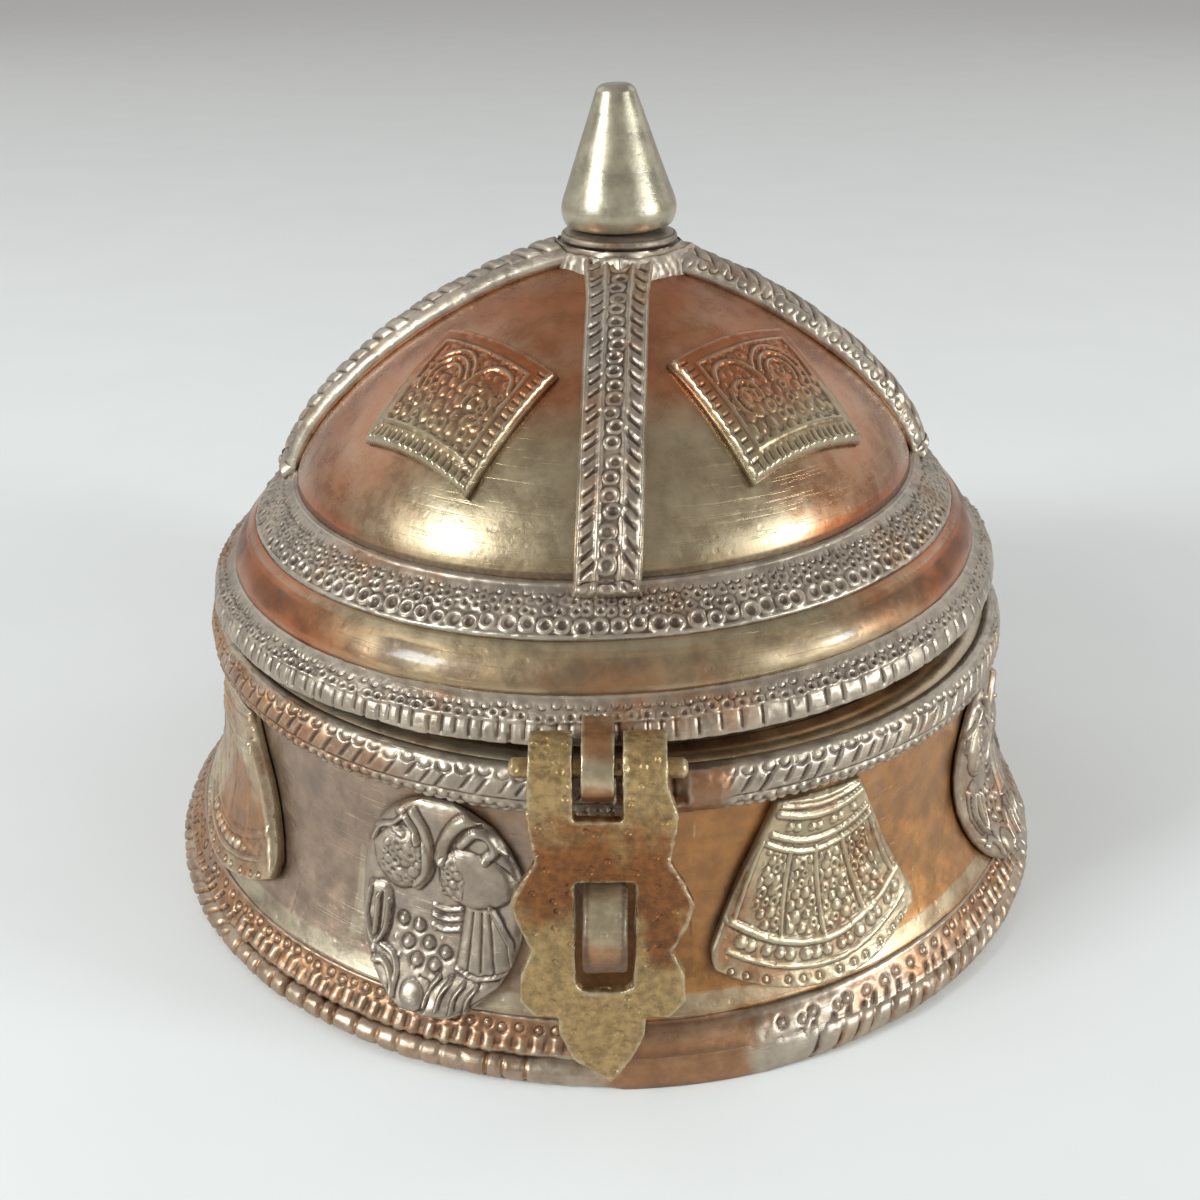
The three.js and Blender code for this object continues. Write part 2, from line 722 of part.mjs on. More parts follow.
function haspPlate() {
  const side = (sign) =>
    HASP_EDGE.map(
      ([across, down]) =>
        new THREE.Vector2(
          HASP_PLATE_SHIFT + sign * across * HASP_HALF_WIDTH,
          -down * haspLength,
        ),
    );
  const half = knucklesWidth / 2;
  const outline = new THREE.Shape([
    new THREE.Vector2(half, 0),
    new THREE.Vector2(-half, 0),
    ...side(-1),
    new THREE.Vector2(HASP_TIP_X, -haspLength),
    ...side(1).reverse(),
  ]);
  outline.holes.push(haspWindow());
  const plate = new THREE.ExtrudeGeometry(outline, {
    depth: HASP_THICKNESS,
    bevelEnabled: false,
    curveSegments: 4,
  });
  plate.rotateX(Math.PI / 2);
  return plate.translate(0, -(KNUCKLE_RADIUS - HASP_THICKNESS), 0).rotateX(-HASP_LEAN);
}

// The window clears the staple at its sides and top and is open below it.
function haspWindow() {
  const half = STAPLE_WIDTH / 2 + STAPLE_SIDE_GAP;
  const middle = -haspX;
  const down = (height) => -(pinZ - height) / Math.cos(HASP_LEAN);
  const top = down(stapleBottom + STAPLE_HEIGHT + STAPLE_TOP_GAP);
  const bottom = down(stapleBottom - HASP_WINDOW_BELOW_STAPLE);
  const corner = HASP_WINDOW_CORNER;
  const window = new THREE.Path();
  window.moveTo(middle - half, top);
  window.lineTo(middle - half, bottom + corner);
  window.quadraticCurveTo(middle - half, bottom, middle - half + corner, bottom);
  window.lineTo(middle + half - corner, bottom);
  window.quadraticCurveTo(middle + half, bottom, middle + half, bottom + corner);
  window.lineTo(middle + half, top);
  return window;
}

function hasp() {
  const mesh = piece("hasp", knuckled(haspPlate()), "hardware");
  mesh.position.set(haspX, -pinY, pinZ);
  return mesh;
}

// Staple: a strap loop whose legs pass through the wall and are bent down inside.

function staple() {
  const [low, high] = staplePlaces;
  const bendRadius = (high - low) / 2;
  const plateFace =
    pinY + KNUCKLE_RADIUS + (pinZ - (low + high) / 2) * Math.tan(HASP_LEAN);
  const noseCentre = plateFace + STAPLE_REACH - bendRadius - STAPLE_THICKNESS / 2;
  const insideAt = (height) =>
    -(wallRadius(height) - BOWL_WALL - SOLDER_GAP - STAPLE_THICKNESS / 2);
  const nose = Array.from({ length: STAPLE_NOSE_STEPS + 1 }, (_, i) => {
    const angle = Math.PI / 2 + (i * Math.PI) / STAPLE_NOSE_STEPS;
    return new THREE.Vector2(
      -noseCentre + bendRadius * Math.cos(angle),
      (low + high) / 2 + bendRadius * Math.sin(angle),
    );
  });
  const line = [
    new THREE.Vector2(insideAt(high), high - STAPLE_CLINCH),
    new THREE.Vector2(insideAt(high), high),
    ...nose,
    new THREE.Vector2(insideAt(low), low),
    new THREE.Vector2(insideAt(low), low - STAPLE_CLINCH),
  ];
  return piece("staple", wideShape(strap(line, STAPLE_THICKNESS), STAPLE_WIDTH), "hardware");
}

// Back hinge: a leaf riveted to the bowl, stepped out over the rim wire.

function leafInner(height) {
  const onWire = height > rimWireFoot - LEAF_THICKNESS;
  return (onWire ? rimWireOuter : wallRadius(height)) + SOLDER_GAP;
}

function hingeLeaf() {
  const middle = LEAF_THICKNESS / 2;
  const leafBottom = LEAF_BOTTOM_SHARE * MOUTH_HEIGHT;
  const heights = [leafBottom, rivetHeight, waistHeight, rimWireFoot - 2.5 * LEAF_THICKNESS];
  const line = [
    ...heights.map((height) => new THREE.Vector2(leafInner(height) + middle, height)),
    new THREE.Vector2(leafInner(rimWireFoot) + middle, rimWireFoot),
    new THREE.Vector2(leafInner(pinZ) + middle, pinZ - 0.5 * KNUCKLE_RADIUS),
  ];
  const plate = wideShape(strap(line, LEAF_THICKNESS), knucklesWidth);
  plate.translate(0, -pinY, -pinZ);
  const holes = rivetPlaces.map((x) => rivetHole(x).translate(0, -pinY, -pinZ));
  const mesh = piece("hinge_leaf", cutAway(knuckled(plate), holes), "hardware");
  mesh.position.set(0, pinY, pinZ);
  return mesh;
}

function hingeRivet(name, x) {
  const wallFace = wallRadius(rivetHeight);
  const head = wallFace + SOLDER_GAP + LEAF_THICKNESS + SOLDER_GAP;
  const tail = wallFace - BOWL_WALL - 2 * SOLDER_GAP;
  const section = [
    [0, tail - RIVET_HEAD_HEIGHT],
    [0.7 * RIVET_HEAD_RADIUS, tail - RIVET_HEAD_HEIGHT],
    [RIVET_HEAD_RADIUS, tail - 0.4 * RIVET_HEAD_HEIGHT],
    [RIVET_HEAD_RADIUS, tail],
    [RIVET_RADIUS, tail],
    [RIVET_RADIUS, head],
    [RIVET_HEAD_RADIUS, head],
    [RIVET_HEAD_RADIUS, head + 0.4 * RIVET_HEAD_HEIGHT],
    [0.7 * RIVET_HEAD_RADIUS, head + RIVET_HEAD_HEIGHT],
    [0, head + RIVET_HEAD_HEIGHT],
  ];
  const mesh = piece(name, turned(section, SMALL_STEPS), "hardware");
  mesh.rotation.x = -Math.PI / 2;
  mesh.position.set(x, 0, rivetHeight);
  return mesh;
}

// Assembly

const bowlGroup = new THREE.Group();
bowlGroup.add(bowl(), footWire(), rimWire(), bowlCollar(), ...panels(), staple(), hingeLeaf());
bowlGroup.add(hingeRivet("hinge_rivet_left", rivetPlaces[0]));
bowlGroup.add(hingeRivet("hinge_rivet_right", rivetPlaces[1]));
bowlGroup.add(pin("hinge_pin", pinY, 0));

const lidGroup = new THREE.Group();
lidGroup.add(lid(), ...ribs(), ...lidPlates(), crownPlate(), finialCollar(), finial());
lidGroup.add(lug("hasp_lug", FRONT, haspX), lug("hinge_lug", BACK, 0));
lidGroup.add(pin("hasp_pin", -pinY, haspX));

const betelBox = new THREE.Group();
betelBox.add(bowlGroup, lidGroup, hasp());

export default betelBox;
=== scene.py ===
"""Betel box: a waisted bowl, a domed lid and a hasp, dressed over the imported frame.

A piece is shaped in millimetres and its mesh ends up in metres, in the frame's own places. An azimuth
is an angle about Z from the hasp, growing towards +X.
"""

import logging
import math
from collections.abc import Callable
from dataclasses import dataclass, field
from enum import Enum
from functools import cache

import bmesh
import bpy
import numpy as np
from mathutils import Matrix


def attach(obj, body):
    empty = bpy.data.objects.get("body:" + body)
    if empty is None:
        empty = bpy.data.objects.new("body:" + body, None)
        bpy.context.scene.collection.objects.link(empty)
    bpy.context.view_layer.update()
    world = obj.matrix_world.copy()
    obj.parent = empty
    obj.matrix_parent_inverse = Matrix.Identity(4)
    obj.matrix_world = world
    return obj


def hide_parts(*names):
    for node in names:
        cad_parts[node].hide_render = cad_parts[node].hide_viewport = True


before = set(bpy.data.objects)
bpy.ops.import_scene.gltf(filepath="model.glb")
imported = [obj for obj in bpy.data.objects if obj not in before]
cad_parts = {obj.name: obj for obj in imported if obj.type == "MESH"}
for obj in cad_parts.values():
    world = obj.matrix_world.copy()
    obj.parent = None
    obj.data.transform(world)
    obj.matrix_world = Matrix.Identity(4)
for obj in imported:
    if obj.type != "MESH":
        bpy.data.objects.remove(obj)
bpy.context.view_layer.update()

Array = np.ndarray
Point = tuple[float, float]
Line = list[Point]
Colour = tuple[float, float, float]
Place = tuple[float, float, float]
Mesh = bpy.types.Mesh
Socket = bpy.types.NodeSocket

LOG = logging.getLogger("betel_box")
MM = 0.001


@dataclass(frozen=True)
class BoxShape:
    """Sizes that the dressed pieces share with the solids, in millimetres.

    The ridge is where the foot's band ends and the wall begins, and the groove lies between the lid's
    rim and its smooth shoulder. A curve of 2 would make the dome's section an ellipse. The lid sits
    aside to the left and rises to the right, and the crown stands a little right of the lid's middle.
    """

    ridge_radius: float = 58.9
    ridge_height: float = 7.0
    foot_flare: float = 2.0
    foot_radius: float = 59.3
    foot_top: float = 3.4
    foot_wire_centre: float = 61.1
    waist_radius: float = 53.0
    waist_height: float = 25.993
    wall_curve: float = 2.1
    mouth_radius: float = 52.4
    mouth_height: float = 37.4
    bowl_wall: float = 2.2
    bowl_floor: float = 2.4
    collar_radius: float = 47.9
    collar_top: float = 42.9
    panel_top: float = 31.5
    lid_edge: float = 40.7
    groove_radius: float = 50.2
    groove_height: float = 45.2
    band_foot_radius: float = 46.9
    band_foot: float = 50.2
    dome_radius: float = 41.2
    dome_foot: float = 54.7
    dome_height: float = 27.6
    dome_curve: float = 1.45
    lid_wall: float = 1.9
    lid_bore: float = 49.4
    lid_aside: float = 0.5
    lid_rise: float = 0.034
    crown_x: float = 1.6
    crown_radius: float = 10.2
    crown_top: float = 83.2
    collar_bottom: float = 83.5
    finial_bottom: float = 85.1
    finial_lean: float = -0.033
    solder_gap: float = 0.3

    def wall_radius(self, height: Array) -> Array:
        """Find the wall's outer radius.

        Args:
            height: heights over the table.

        Returns:
            The radius at each height.
        """
        share = (height - self.waist_height) / (self.mouth_height - self.waist_height)
        above = self.waist_radius + (self.mouth_radius - self.waist_radius) * share
        drop = (self.waist_height - height) / (self.waist_height - self.ridge_height)
        flare = (self.ridge_radius - self.waist_radius) * np.clip(drop, 0, None) ** self.wall_curve
        return np.where(height >= self.waist_height, above, self.waist_radius + flare)

    def dome_skin(self, share: Array, inset: float = 0.0) -> tuple[Array, Array, Array, Array]:
        """Find points of the dome's skin.

        Args:
            share: how far round the dome's section each point is, 0 at its foot and 1 at its top.
            inset: how far inside the skin the points lie.

        Returns:
            The radii, the heights, and the outward slope's two parts.
        """
        angle = np.asarray(share) * math.pi / 2
        across = np.clip(np.cos(angle), 0, 1) ** (2 / self.dome_curve)
        rise = np.clip(np.sin(angle), 0, 1) ** (2 / self.dome_curve)
        radius = (self.dome_radius - inset) * across
        height = self.dome_foot + (self.dome_height - inset) * rise
        out = across ** (self.dome_curve - 1) / self.dome_radius
        up = rise ** (self.dome_curve - 1) / self.dome_height
        size = np.hypot(out, up)
        return radius, height, out / size, up / size

    def dome_share(self, radius: Array) -> Array:
        """Find where on the dome's section a radius lies, from 0 at the foot to 1 at the top."""
        inner = np.clip(np.asarray(radius) / self.dome_radius, 0, 1)
        return np.arccos(inner ** (self.dome_curve / 2)) * 2 / math.pi

    def askew(self, points: Array) -> Array:
        """Set points of the level lid as it sits on the bowl, aside and rising to the right.

        Args:
            points: places on the level lid in millimetres.

        Returns:
            The moved points.
        """
        moved = points.copy()
        moved[:, 0] -= self.lid_aside
        moved[:, 2] += self.lid_rise * points[:, 0]
        return moved


SHAPE = BoxShape()


def chance(index: Array, seed: float) -> Array:
    """Give each whole number its own steady share between 0 and 1.

    Args:
        index: whole numbers.
        seed: picks one of many runs of shares.

    Returns:
        A share for each number.
    """
    return np.mod(np.sin(index * 12.9898 + seed * 78.233) * 43758.5453, 1.0)


def unevenness(points: Array, size: float, seed: float) -> Array:
    """Make a soft random field through space, as hand work leaves on metal.

    Args:
        points: places in millimetres, one row each.
        size: the distance over which the field changes, in millimetres.
        seed: picks one of many fields.

    Returns:
        A value from -1 to 1 at each point.
    """
    scaled = points / size + seed * 17.31
    cell = np.floor(scaled)
    part = scaled - cell
    part = part * part * (3 - 2 * part)
    total = np.zeros(len(points))
    for corner in range(8):
        step = np.array([corner & 1, corner >> 1 & 1, corner >> 2 & 1])
        at = cell + step
        key = at[:, 0] * 1.7 + at[:, 1] * 57.3 + at[:, 2] * 113.9
        weight = np.prod(np.where(step, part, 1 - part), axis=1)
        total += weight * chance(key, seed)
    return 2 * total - 1


def azimuths(points: Array) -> Array:
    """Measure each point's azimuth from the hasp, in radians, growing towards +X."""
    return np.arctan2(points[:, 0], -points[:, 1])


def zone(degrees: Array, low: float, high: float, soft: float = 1.5) -> Array:
    """Mark a stretch of azimuths with soft ends.

    Args:
        degrees: azimuths in degrees.
        low: where the stretch begins.
        high: where it ends.
        soft: how many degrees each end takes to fade.

    Returns:
        1 inside the stretch and 0 outside it.
    """
    return np.clip((degrees - low) / soft, 0, 1) * np.clip((high - degrees) / soft, 0, 1)


def hump(place: Array, middle: float, width: float) -> Array:
    """Give a soft hump, 1 at its middle and nearly 0 two widths away from it."""
    return np.exp(-(((place - middle) / width) ** 2))


def domed(away: Array) -> Array:
    """Give a round section's height, 1 over its middle and 0 from a distance of 1 on."""
    return np.sqrt(np.clip(1 - away**2, 0, 1))


def radii(points: Array) -> Array:
    """Measure how far each point is from the Z axis."""
    return np.hypot(points[:, 0], points[:, 1])


def placed(radius: Array, angle: Array, height: Array) -> Array:
    """Place points by their radius, their azimuth in radians and their height."""
    return np.stack([radius * np.sin(angle), -radius * np.cos(angle), height], axis=1)


def line_of(across: Array, up: Array) -> Line:
    """Make a line's points from two rows of numbers."""
    return list(zip(across.tolist(), up.tolist()))


@dataclass(frozen=True)
class PlainFoot:
    """The foot's plain stretch right of the hasp, where its wire and band are one smooth bulge.

    Attributes:
        start: where it begins, in degrees.
        end: where it ends.
        fade: how many degrees each end takes to fade.
        parted: where wire and band are quite apart again, in degrees.
        parting: over how many degrees they part.
        middle: how high the bulge's middle is, in millimetres.
        half: half the bulge's height.
        out: how far it stands out from the ridge over the band.
        front: where the front's work begins at the left, in degrees.
        left_stretch: where the foot is redder and darker at the left, partly a painted reflection of a red
            cloth: its start, its end and its fade, in degrees.
    """

    start: float = -1.0
    end: float = 17.0
    fade: float = 3.0
    parted: float = 50.0
    parting: float = 33.0
    middle: float = 1.9
    half: float = 5.0
    out: float = 3.5
    front: float = -52.0
    left_stretch: tuple[float, float, float] = (-100.0, -6.0, 10.0)

    def plain(self, degrees: Array) -> Array:
        """Mark the azimuths at which the foot is plain."""
        return zone(degrees, self.start, self.end, self.fade)

    def merged(self, degrees: Array) -> Array:
        """Find how far the foot's wire and band are one bulge at each azimuth."""
        begun = np.clip((degrees - self.start) / self.fade, 0, 1)
        return begun * np.clip((self.parted - degrees) / self.parting, 0, 1) ** 1.5

    def bulged(self, points: Array, share: Array) -> Array:
        """Draw points out by a share to the bulge.

        Args:
            points: places in millimetres.
            share: how far each point goes there, from 0 to 1.

        Returns:
            The moved points.
        """
        arc = domed((points[:, 2] - self.middle) / self.half)
        radius = np.maximum(radii(points), 1)
        scale = 1 + share * ((SHAPE.ridge_radius + self.out * arc) / radius - 1)
        return points * np.stack([scale, scale, np.ones(len(points))], axis=1)

    def age(self, degrees: Array, plain_soil_and_shade: Array) -> tuple[Array, Array]:
        """Work out the foot's colouring: redder and darker at the left, partly a painted reflection of a
        red cloth, and darker where it is plain.

        Args:
            degrees: azimuths in degrees.
            plain_soil_and_shade: the soiling and painted shade that the plain stretch holds.

        Returns:
            The soiling and painted shade, and the patina's warmth with its painted red reflection, at each
            point.
        """
        plain = self.plain(degrees)
        left_stretch = zone(degrees, *self.left_stretch)
        return 0.1 + 0.15 * left_stretch + plain * plain_soil_and_shade, 1.2 * plain + 0.6 * left_stretch + 0.3


FOOT = PlainFoot()


def soft_line(points: Line, cuts: int = 6) -> Line:
    """Round a line of points into a soft curve through them.

    Args:
        points: the places that the curve passes.
        cuts: how many steps it takes between two places.

    Returns:
        The curve's points.
    """
    given = np.array(points, dtype=float)
    ends = np.vstack([2 * given[0] - given[1], given, 2 * given[-1] - given[-2]])
    curve = []
    for i in range(len(given) - 1):
        before, start, stop, after = ends[i : i + 4]
        for share in np.arange(cuts) / cuts:
            middle = (stop - before) * share + (2 * before - 5 * start + 4 * stop - after) * share**2
            curve.append(start + 0.5 * (middle + (3 * start - before - 3 * stop + after) * share**3))
    curve.append(given[-1])
    return [(float(x), float(y)) for x, y in curve]


def even_line(points: Line, spacing: float) -> Line:
    """Step along straight runs, keeping every corner.

    Args:
        points: the runs' ends.
        spacing: the longest step.

    Returns:
        Points no further apart than the spacing.
    """
    line = []
    for start, stop in zip(points, points[1:]):
        steps = max(1, math.ceil(math.dist(start, stop) / spacing))
        for i in range(steps):
            share = i / steps
            line.append(tuple(a + (b - a) * share for a, b in zip(start, stop)))
    line.append(points[-1])
    return line


def reach(across: Array, up: Array, line: Line) -> Array:
    """Measure how far each point is from a line of straight runs.

    Args:
        across: the points' places from left to right.
        up: the points' places from bottom to top.
        line: the line's corners.

    Returns:
        The distances.
    """
    nearest = np.full(across.shape, np.inf)
    for (x0, y0), (x1, y1) in zip(line, line[1:]):
        run, rise = x1 - x0, y1 - y0
        share = ((across - x0) * run + (up - y0) * rise) / max(run * run + rise * rise, 1e-9)
        share = np.clip(share, 0, 1)
        away = np.hypot(across - x0 - share * run, up - y0 - share * rise)
        np.minimum(nearest, away, out=nearest)
    return nearest


def within(across: Array, up: Array, outline: Line) -> Array:
    """Tell which points lie inside a closed outline.

    Args:
        across: the points' places from left to right.
        up: the points' places from bottom to top.
        outline: the outline's corners, without the first one again.

    Returns:
        True for each point inside.
    """
    odd = np.zeros(across.shape, dtype=bool)
    for (x0, y0), (x1, y1) in zip(outline, outline[1:] + outline[:1]):
        crosses = (y0 > up) != (y1 > up)
        slope = (x1 - x0) / (y1 - y0) if y1 != y0 else 0.0
        odd ^= crosses & (across < x0 + slope * (up - y0))
    return odd


class Mark(Enum):
    """The marks that the maker's punches and gravers leave."""

    BEAD = "bead"
    RING = "ring"
    CUP = "cup"
    STROKE = "stroke"
    PAD = "pad"
    CRESCENT = "crescent"


@dataclass(frozen=True)
class Row:
    """One row of like marks, stepped off by eye.

    Attributes:
        mark: what each mark is.
        count: how many there are along the row.
        level: how far up the row runs.
        width: a mark's size along the row.
        height: a mark's size across the row.
        depth: how far it stands up or is struck in.
        lean: how far the marks lean over, in degrees.
        wander: how unevenly they are placed, as a share of their step.
        seed: picks one of many uneven runs.
    """

    mark: Mark
    count: int
    level: float
    width: float
    height: float
    depth: float
    lean: float = 0.0
    wander: float = 0.2
    seed: float = 1.0

    def heights(self, along: Array, up: Array, length: float) -> Array:
        """Work out the row's raised and sunk heights.

        Args:
            along: the points' places along the row, in millimetres.
            up: the points' places across the row.
            length: the row's whole length.

        Returns:
            The height at each point.
        """
        pitch = length / self.count
        leaning = along - (up - self.level) * math.tan(math.radians(self.lean))
        index = np.round(leaning / pitch)
        key = np.mod(index, self.count)
        aside = leaning - (index + self.wander * (chance(key, self.seed) - 0.5)) * pitch
        above = up - self.level - self.wander * (chance(key, self.seed + 1) - 0.5) * self.height
        size = 0.88 + 0.24 * chance(key, self.seed + 2)
        side = aside / (self.width / 2 * size)
        rise = above / (self.height / 2 * size)
        away = np.hypot(side, rise)
        depth = self.depth * (0.75 + 0.5 * chance(key, self.seed + 4))
        match self.mark:
            case Mark.BEAD:
                shape = domed(away)
            case Mark.RING:
                boss = 0.4 * np.clip(1 - (away / 0.5) ** 2, 0, 1)
                shape = boss - hump(away, 0.78, 0.2)
            case Mark.CUP:
                shape = hump(away, 0.78, 0.2) - 0.35 * np.clip(1 - (away / 0.6) ** 2, 0, 1)
            case Mark.STROKE:
                shape = -np.clip(1 - side**2, 0, 1) * np.clip(1 - rise**4, 0, 1)
            case Mark.PAD:
                shape = np.sqrt(np.clip(1 - side**4, 0, 1) * np.clip(1 - rise**4, 0, 1))
            case Mark.CRESCENT:
                shape = -hump(away, 0.8, 0.2) * np.clip(0.6 - rise, 0, 1)
        return depth * shape


@dataclass
class Relief:
    """Chased and punched work over the points of a piece, laid flat in millimetres.

    Attributes:
        across: the points' places from left to right.
        up: the points' places from bottom to top.
        left: how much of the work use has left at each point.
    """

    across: Array
    up: Array
    left: Array | float = 0.75
    raised: Array = field(init=False)
    sunk: Array = field(init=False)
    ground: Array = field(init=False)

    def __post_init__(self) -> None:
        """Start from a bare sheet."""
        self.raised = np.zeros(self.across.shape)
        self.sunk = np.zeros(self.across.shape)
        self.ground = np.zeros(self.across.shape)

    def ridge(self, line: Line, width: float, tall: float) -> None:
        """Raise a rounded ridge.

        Args:
            line: the ridge's crest.
            width: its width at the foot.
            tall: its height.
        """
        away = reach(self.across, self.up, line) / (width / 2)
        self.raised = np.maximum(self.raised, tall * domed(away))

    def groove(self, line: Line, width: float, deep: float) -> None:
        """Cut a rounded groove.

        Args:
            line: the groove's bottom.
            width: its width at the face.
            deep: its depth.
        """
        away = reach(self.across, self.up, line) / (width / 2)
        self.sunk = np.maximum(self.sunk, deep * np.clip(1 - away**2, 0, 1))

    def bead(self, place: Point, size: Point, tall: float, turn: float = 0) -> None:
        """Raise an oval bead.

        Args:
            place: its middle.
            size: its width and height.
            tall: how far it stands up.
            turn: how far it is turned, in degrees.
        """
        aside, above = self.across - place[0], self.up - place[1]
        cosine, sine = math.cos(math.radians(turn)), math.sin(math.radians(turn))
        side = (aside * cosine + above * sine) / (size[0] / 2)
        rise = (above * cosine - aside * sine) / (size[1] / 2)
        self.raised = np.maximum(self.raised, tall * np.sqrt(np.clip(1 - side**2 - rise**2, 0, 1)))

    def ring(self, place: Point, diameter: float, deep: float) -> None:
        """Strike a ring punch, which leaves a round boss in a groove.

        Args:
            place: the ring's middle.
            diameter: its size.
            deep: how far it is struck in.
        """
        away = np.hypot(self.across - place[0], self.up - place[1]) / (diameter / 2)
        self.sunk = np.maximum(self.sunk, deep * hump(away, 0.85, 0.25))
        self.raised = np.maximum(self.raised, 0.6 * deep * np.clip(1 - (away / 0.6) ** 2, 0, 1))

    def cushion(self, outline: Line, tall: float, soft: float) -> None:
        """Raise a soft-edged shape from the ground.

        Args:
            outline: the shape's corners.
            tall: how high its middle stands.
            soft: how far in from the edge it reaches that height.
        """
        closed = outline + outline[:1]
        away = reach(self.across, self.up, closed) * within(self.across, self.up, outline)
        rise = np.clip(away / soft, 0, 1)
        self.ground = np.maximum(self.ground, tall * np.sqrt(rise * (2 - rise)))

    def studs(self, pitch: float, size: float, tall: float, mask: Array, seed: float) -> None:
        """Crowd an area with uneven beads and punched rings.

        Args:
            pitch: the step between marks.
            size: a mark's diameter.
            tall: how far a bead stands up.
            mask: 1 where the marks go.
            seed: picks one of many layouts.
        """
        row = np.floor(self.up / (0.87 * pitch))
        for above in (-1, 0, 1):
            line = row + above
            offset = 0.5 * np.mod(line, 2)
            column = np.floor(self.across / pitch - offset)
            for beside in (-1, 0, 1):
                cell = column + beside
                key = cell * 31 + line * 17
                x = (cell + offset + 0.5 + 0.4 * (chance(key, seed) - 0.5)) * pitch
                y = (line + 0.5 + 0.4 * (chance(key, seed + 1) - 0.5)) * 0.87 * pitch
                scale = size / 2 * (0.75 + 0.5 * chance(key, seed + 2))
                away = np.hypot(self.across - x, self.up - y) / scale
                is_ring = chance(key, seed + 3) > 0.55
                bead = domed(away)
                rim = hump(away, 0.75, 0.25)
                height = tall * np.where(is_ring, 0.8 * rim, bead) * mask
                self.raised = np.maximum(self.raised, height)

    def stamp(self, row: Row, length: float, mask: Array | float = 1.0) -> None:
        """Strike a row of marks along the piece.

        Args:
            row: the marks.
            length: the row's whole length.
            mask: 1 where the row runs, 0 where it is left out.
        """
        heights = row.heights(self.across, self.up, length) * mask
        self.raised = np.maximum(self.raised, heights)
        self.sunk = np.maximum(self.sunk, -heights)

    def heights(self) -> Array:
        """Add up the ground, what is raised on it and what is cut into it."""
        return self.ground + (self.raised - self.sunk) * self.left


def points_of(mesh: Mesh) -> Array:
    """Read a mesh's points.

    Args:
        mesh: any mesh.

    Returns:
        A row of three for each point.
    """
    flat = np.empty(len(mesh.vertices) * 3)
    mesh.vertices.foreach_get("co", flat)
    return flat.reshape(-1, 3)


def normals_of(mesh: Mesh) -> Array:
    """Read the outward direction at each of a mesh's points.

    Args:
        mesh: any mesh.

    Returns:
        A row of three for each point.
    """
    flat = np.empty(len(mesh.vertices) * 3, dtype=np.float32)
    mesh.vertex_normals.foreach_get("vector", flat)
    return flat.reshape(-1, 3).astype(float)


def set_points(mesh: Mesh, points: Array) -> None:
    """Move a mesh's points to new places."""
    mesh.vertices.foreach_set("co", points.ravel())
    mesh.update()


def mesh_of(name: str, shape: bmesh.types.BMesh) -> Mesh:
    """Turn a shape into a mesh and free it.

    Args:
        name: the mesh's name.
        shape: the shape, in millimetres.

    Returns:
        The mesh, still in millimetres.
    """
    mesh = bpy.data.meshes.new(name)
    shape.to_mesh(mesh)
    shape.free()
    mesh.shade_smooth()
    return mesh


def spun(name: str, profile: Line, steps: int, ring: bool) -> Mesh:
    """Turn a profile once round the Z axis: one sixteenth is spun, and copies of it close the round.

    Args:
        name: the mesh's name.
        profile: points of radius and height. It starts and ends on the axis, or is a ring's section.
        steps: about how many steps go round.
        ring: whether the section closes on itself.

    Returns:
        A closed mesh in millimetres.
    """
    shape = bmesh.new()
    corners = [shape.verts.new((0, -radius, height)) for radius, height in profile]
    pairs = list(zip(corners, corners[1:]))
    if ring:
        pairs.append((corners[-1], corners[0]))
    runs = [shape.edges.new(pair) for pair in pairs]
    doublings = 4
    wedges = 2**doublings
    wedge = 2 * math.pi / wedges
    bmesh.ops.spin(
        shape,
        geom=corners + runs,
        cent=(0, 0, 0),
        axis=(0, 0, 1),
        angle=wedge,
        steps=round(steps / wedges),
    )
    for doubling in range(doublings):
        copied = bmesh.ops.duplicate(shape, geom=shape.verts[:] + shape.edges[:] + shape.faces[:])
        verts = [item for item in copied["geom"] if isinstance(item, bmesh.types.BMVert)]
        turn = Matrix.Rotation(wedge * 2**doubling, 3, "Z")
        bmesh.ops.rotate(shape, verts=verts, cent=(0, 0, 0), matrix=turn)
    bmesh.ops.remove_doubles(shape, verts=shape.verts, dist=1e-3)
    bmesh.ops.recalc_face_normals(shape, faces=shape.faces)
    return mesh_of(name, shape)


def along_profile(points: Array, profile: Line) -> Array:
    """Find how far along a turned profile each point lies.

    Args:
        points: the turned mesh's points.
        profile: the profile that was turned.

    Returns:
        The distance from the profile's start to each point.
    """
    line = np.array(profile)
    steps = np.hypot(*np.diff(line, axis=0).T)
    places = np.concatenate([[0], np.cumsum(steps)])
    radius = radii(points)
    result = np.empty(len(points))
    batch = 20000
    for start in range(0, len(points), batch):
        part = slice(start, start + batch)
        away = (radius[part, None] - line[:, 0]) ** 2 + (points[part, 2, None] - line[:, 1]) ** 2
        result[part] = places[np.argmin(away, axis=1)]
    return result


def sheet(name: str, columns: int, rows: int, cuts: int) -> Mesh:
    """Make a flat sheet with a fine face, coarse back and closed sides.

    Args:
        name: the mesh's name.
        columns: coarse squares from left to right.
        rows: coarse squares from bottom to top.
        cuts: how many times each square of the face is cut each way.

    Returns:
        A mesh from -1 to 1 both ways, with its back at 0 and its face at 1.
    """
    shape = bmesh.new()
    bmesh.ops.create_grid(shape, x_segments=columns, y_segments=rows, size=1.0)
    grown = bmesh.ops.extrude_face_region(shape, geom=shape.faces[:], use_keep_orig=True)
    face = [item for item in grown["geom"] if isinstance(item, bmesh.types.BMVert)]
    bmesh.ops.translate(shape, verts=face, vec=(0, 0, 1))
    edges = [edge for edge in shape.edges if all(vert.co.z > 0.5 for vert in edge.verts)]
    bmesh.ops.subdivide_edges(shape, edges=edges, cuts=cuts, use_grid_fill=True)
    bmesh.ops.recalc_face_normals(shape, faces=shape.faces)
    return mesh_of(name, shape)


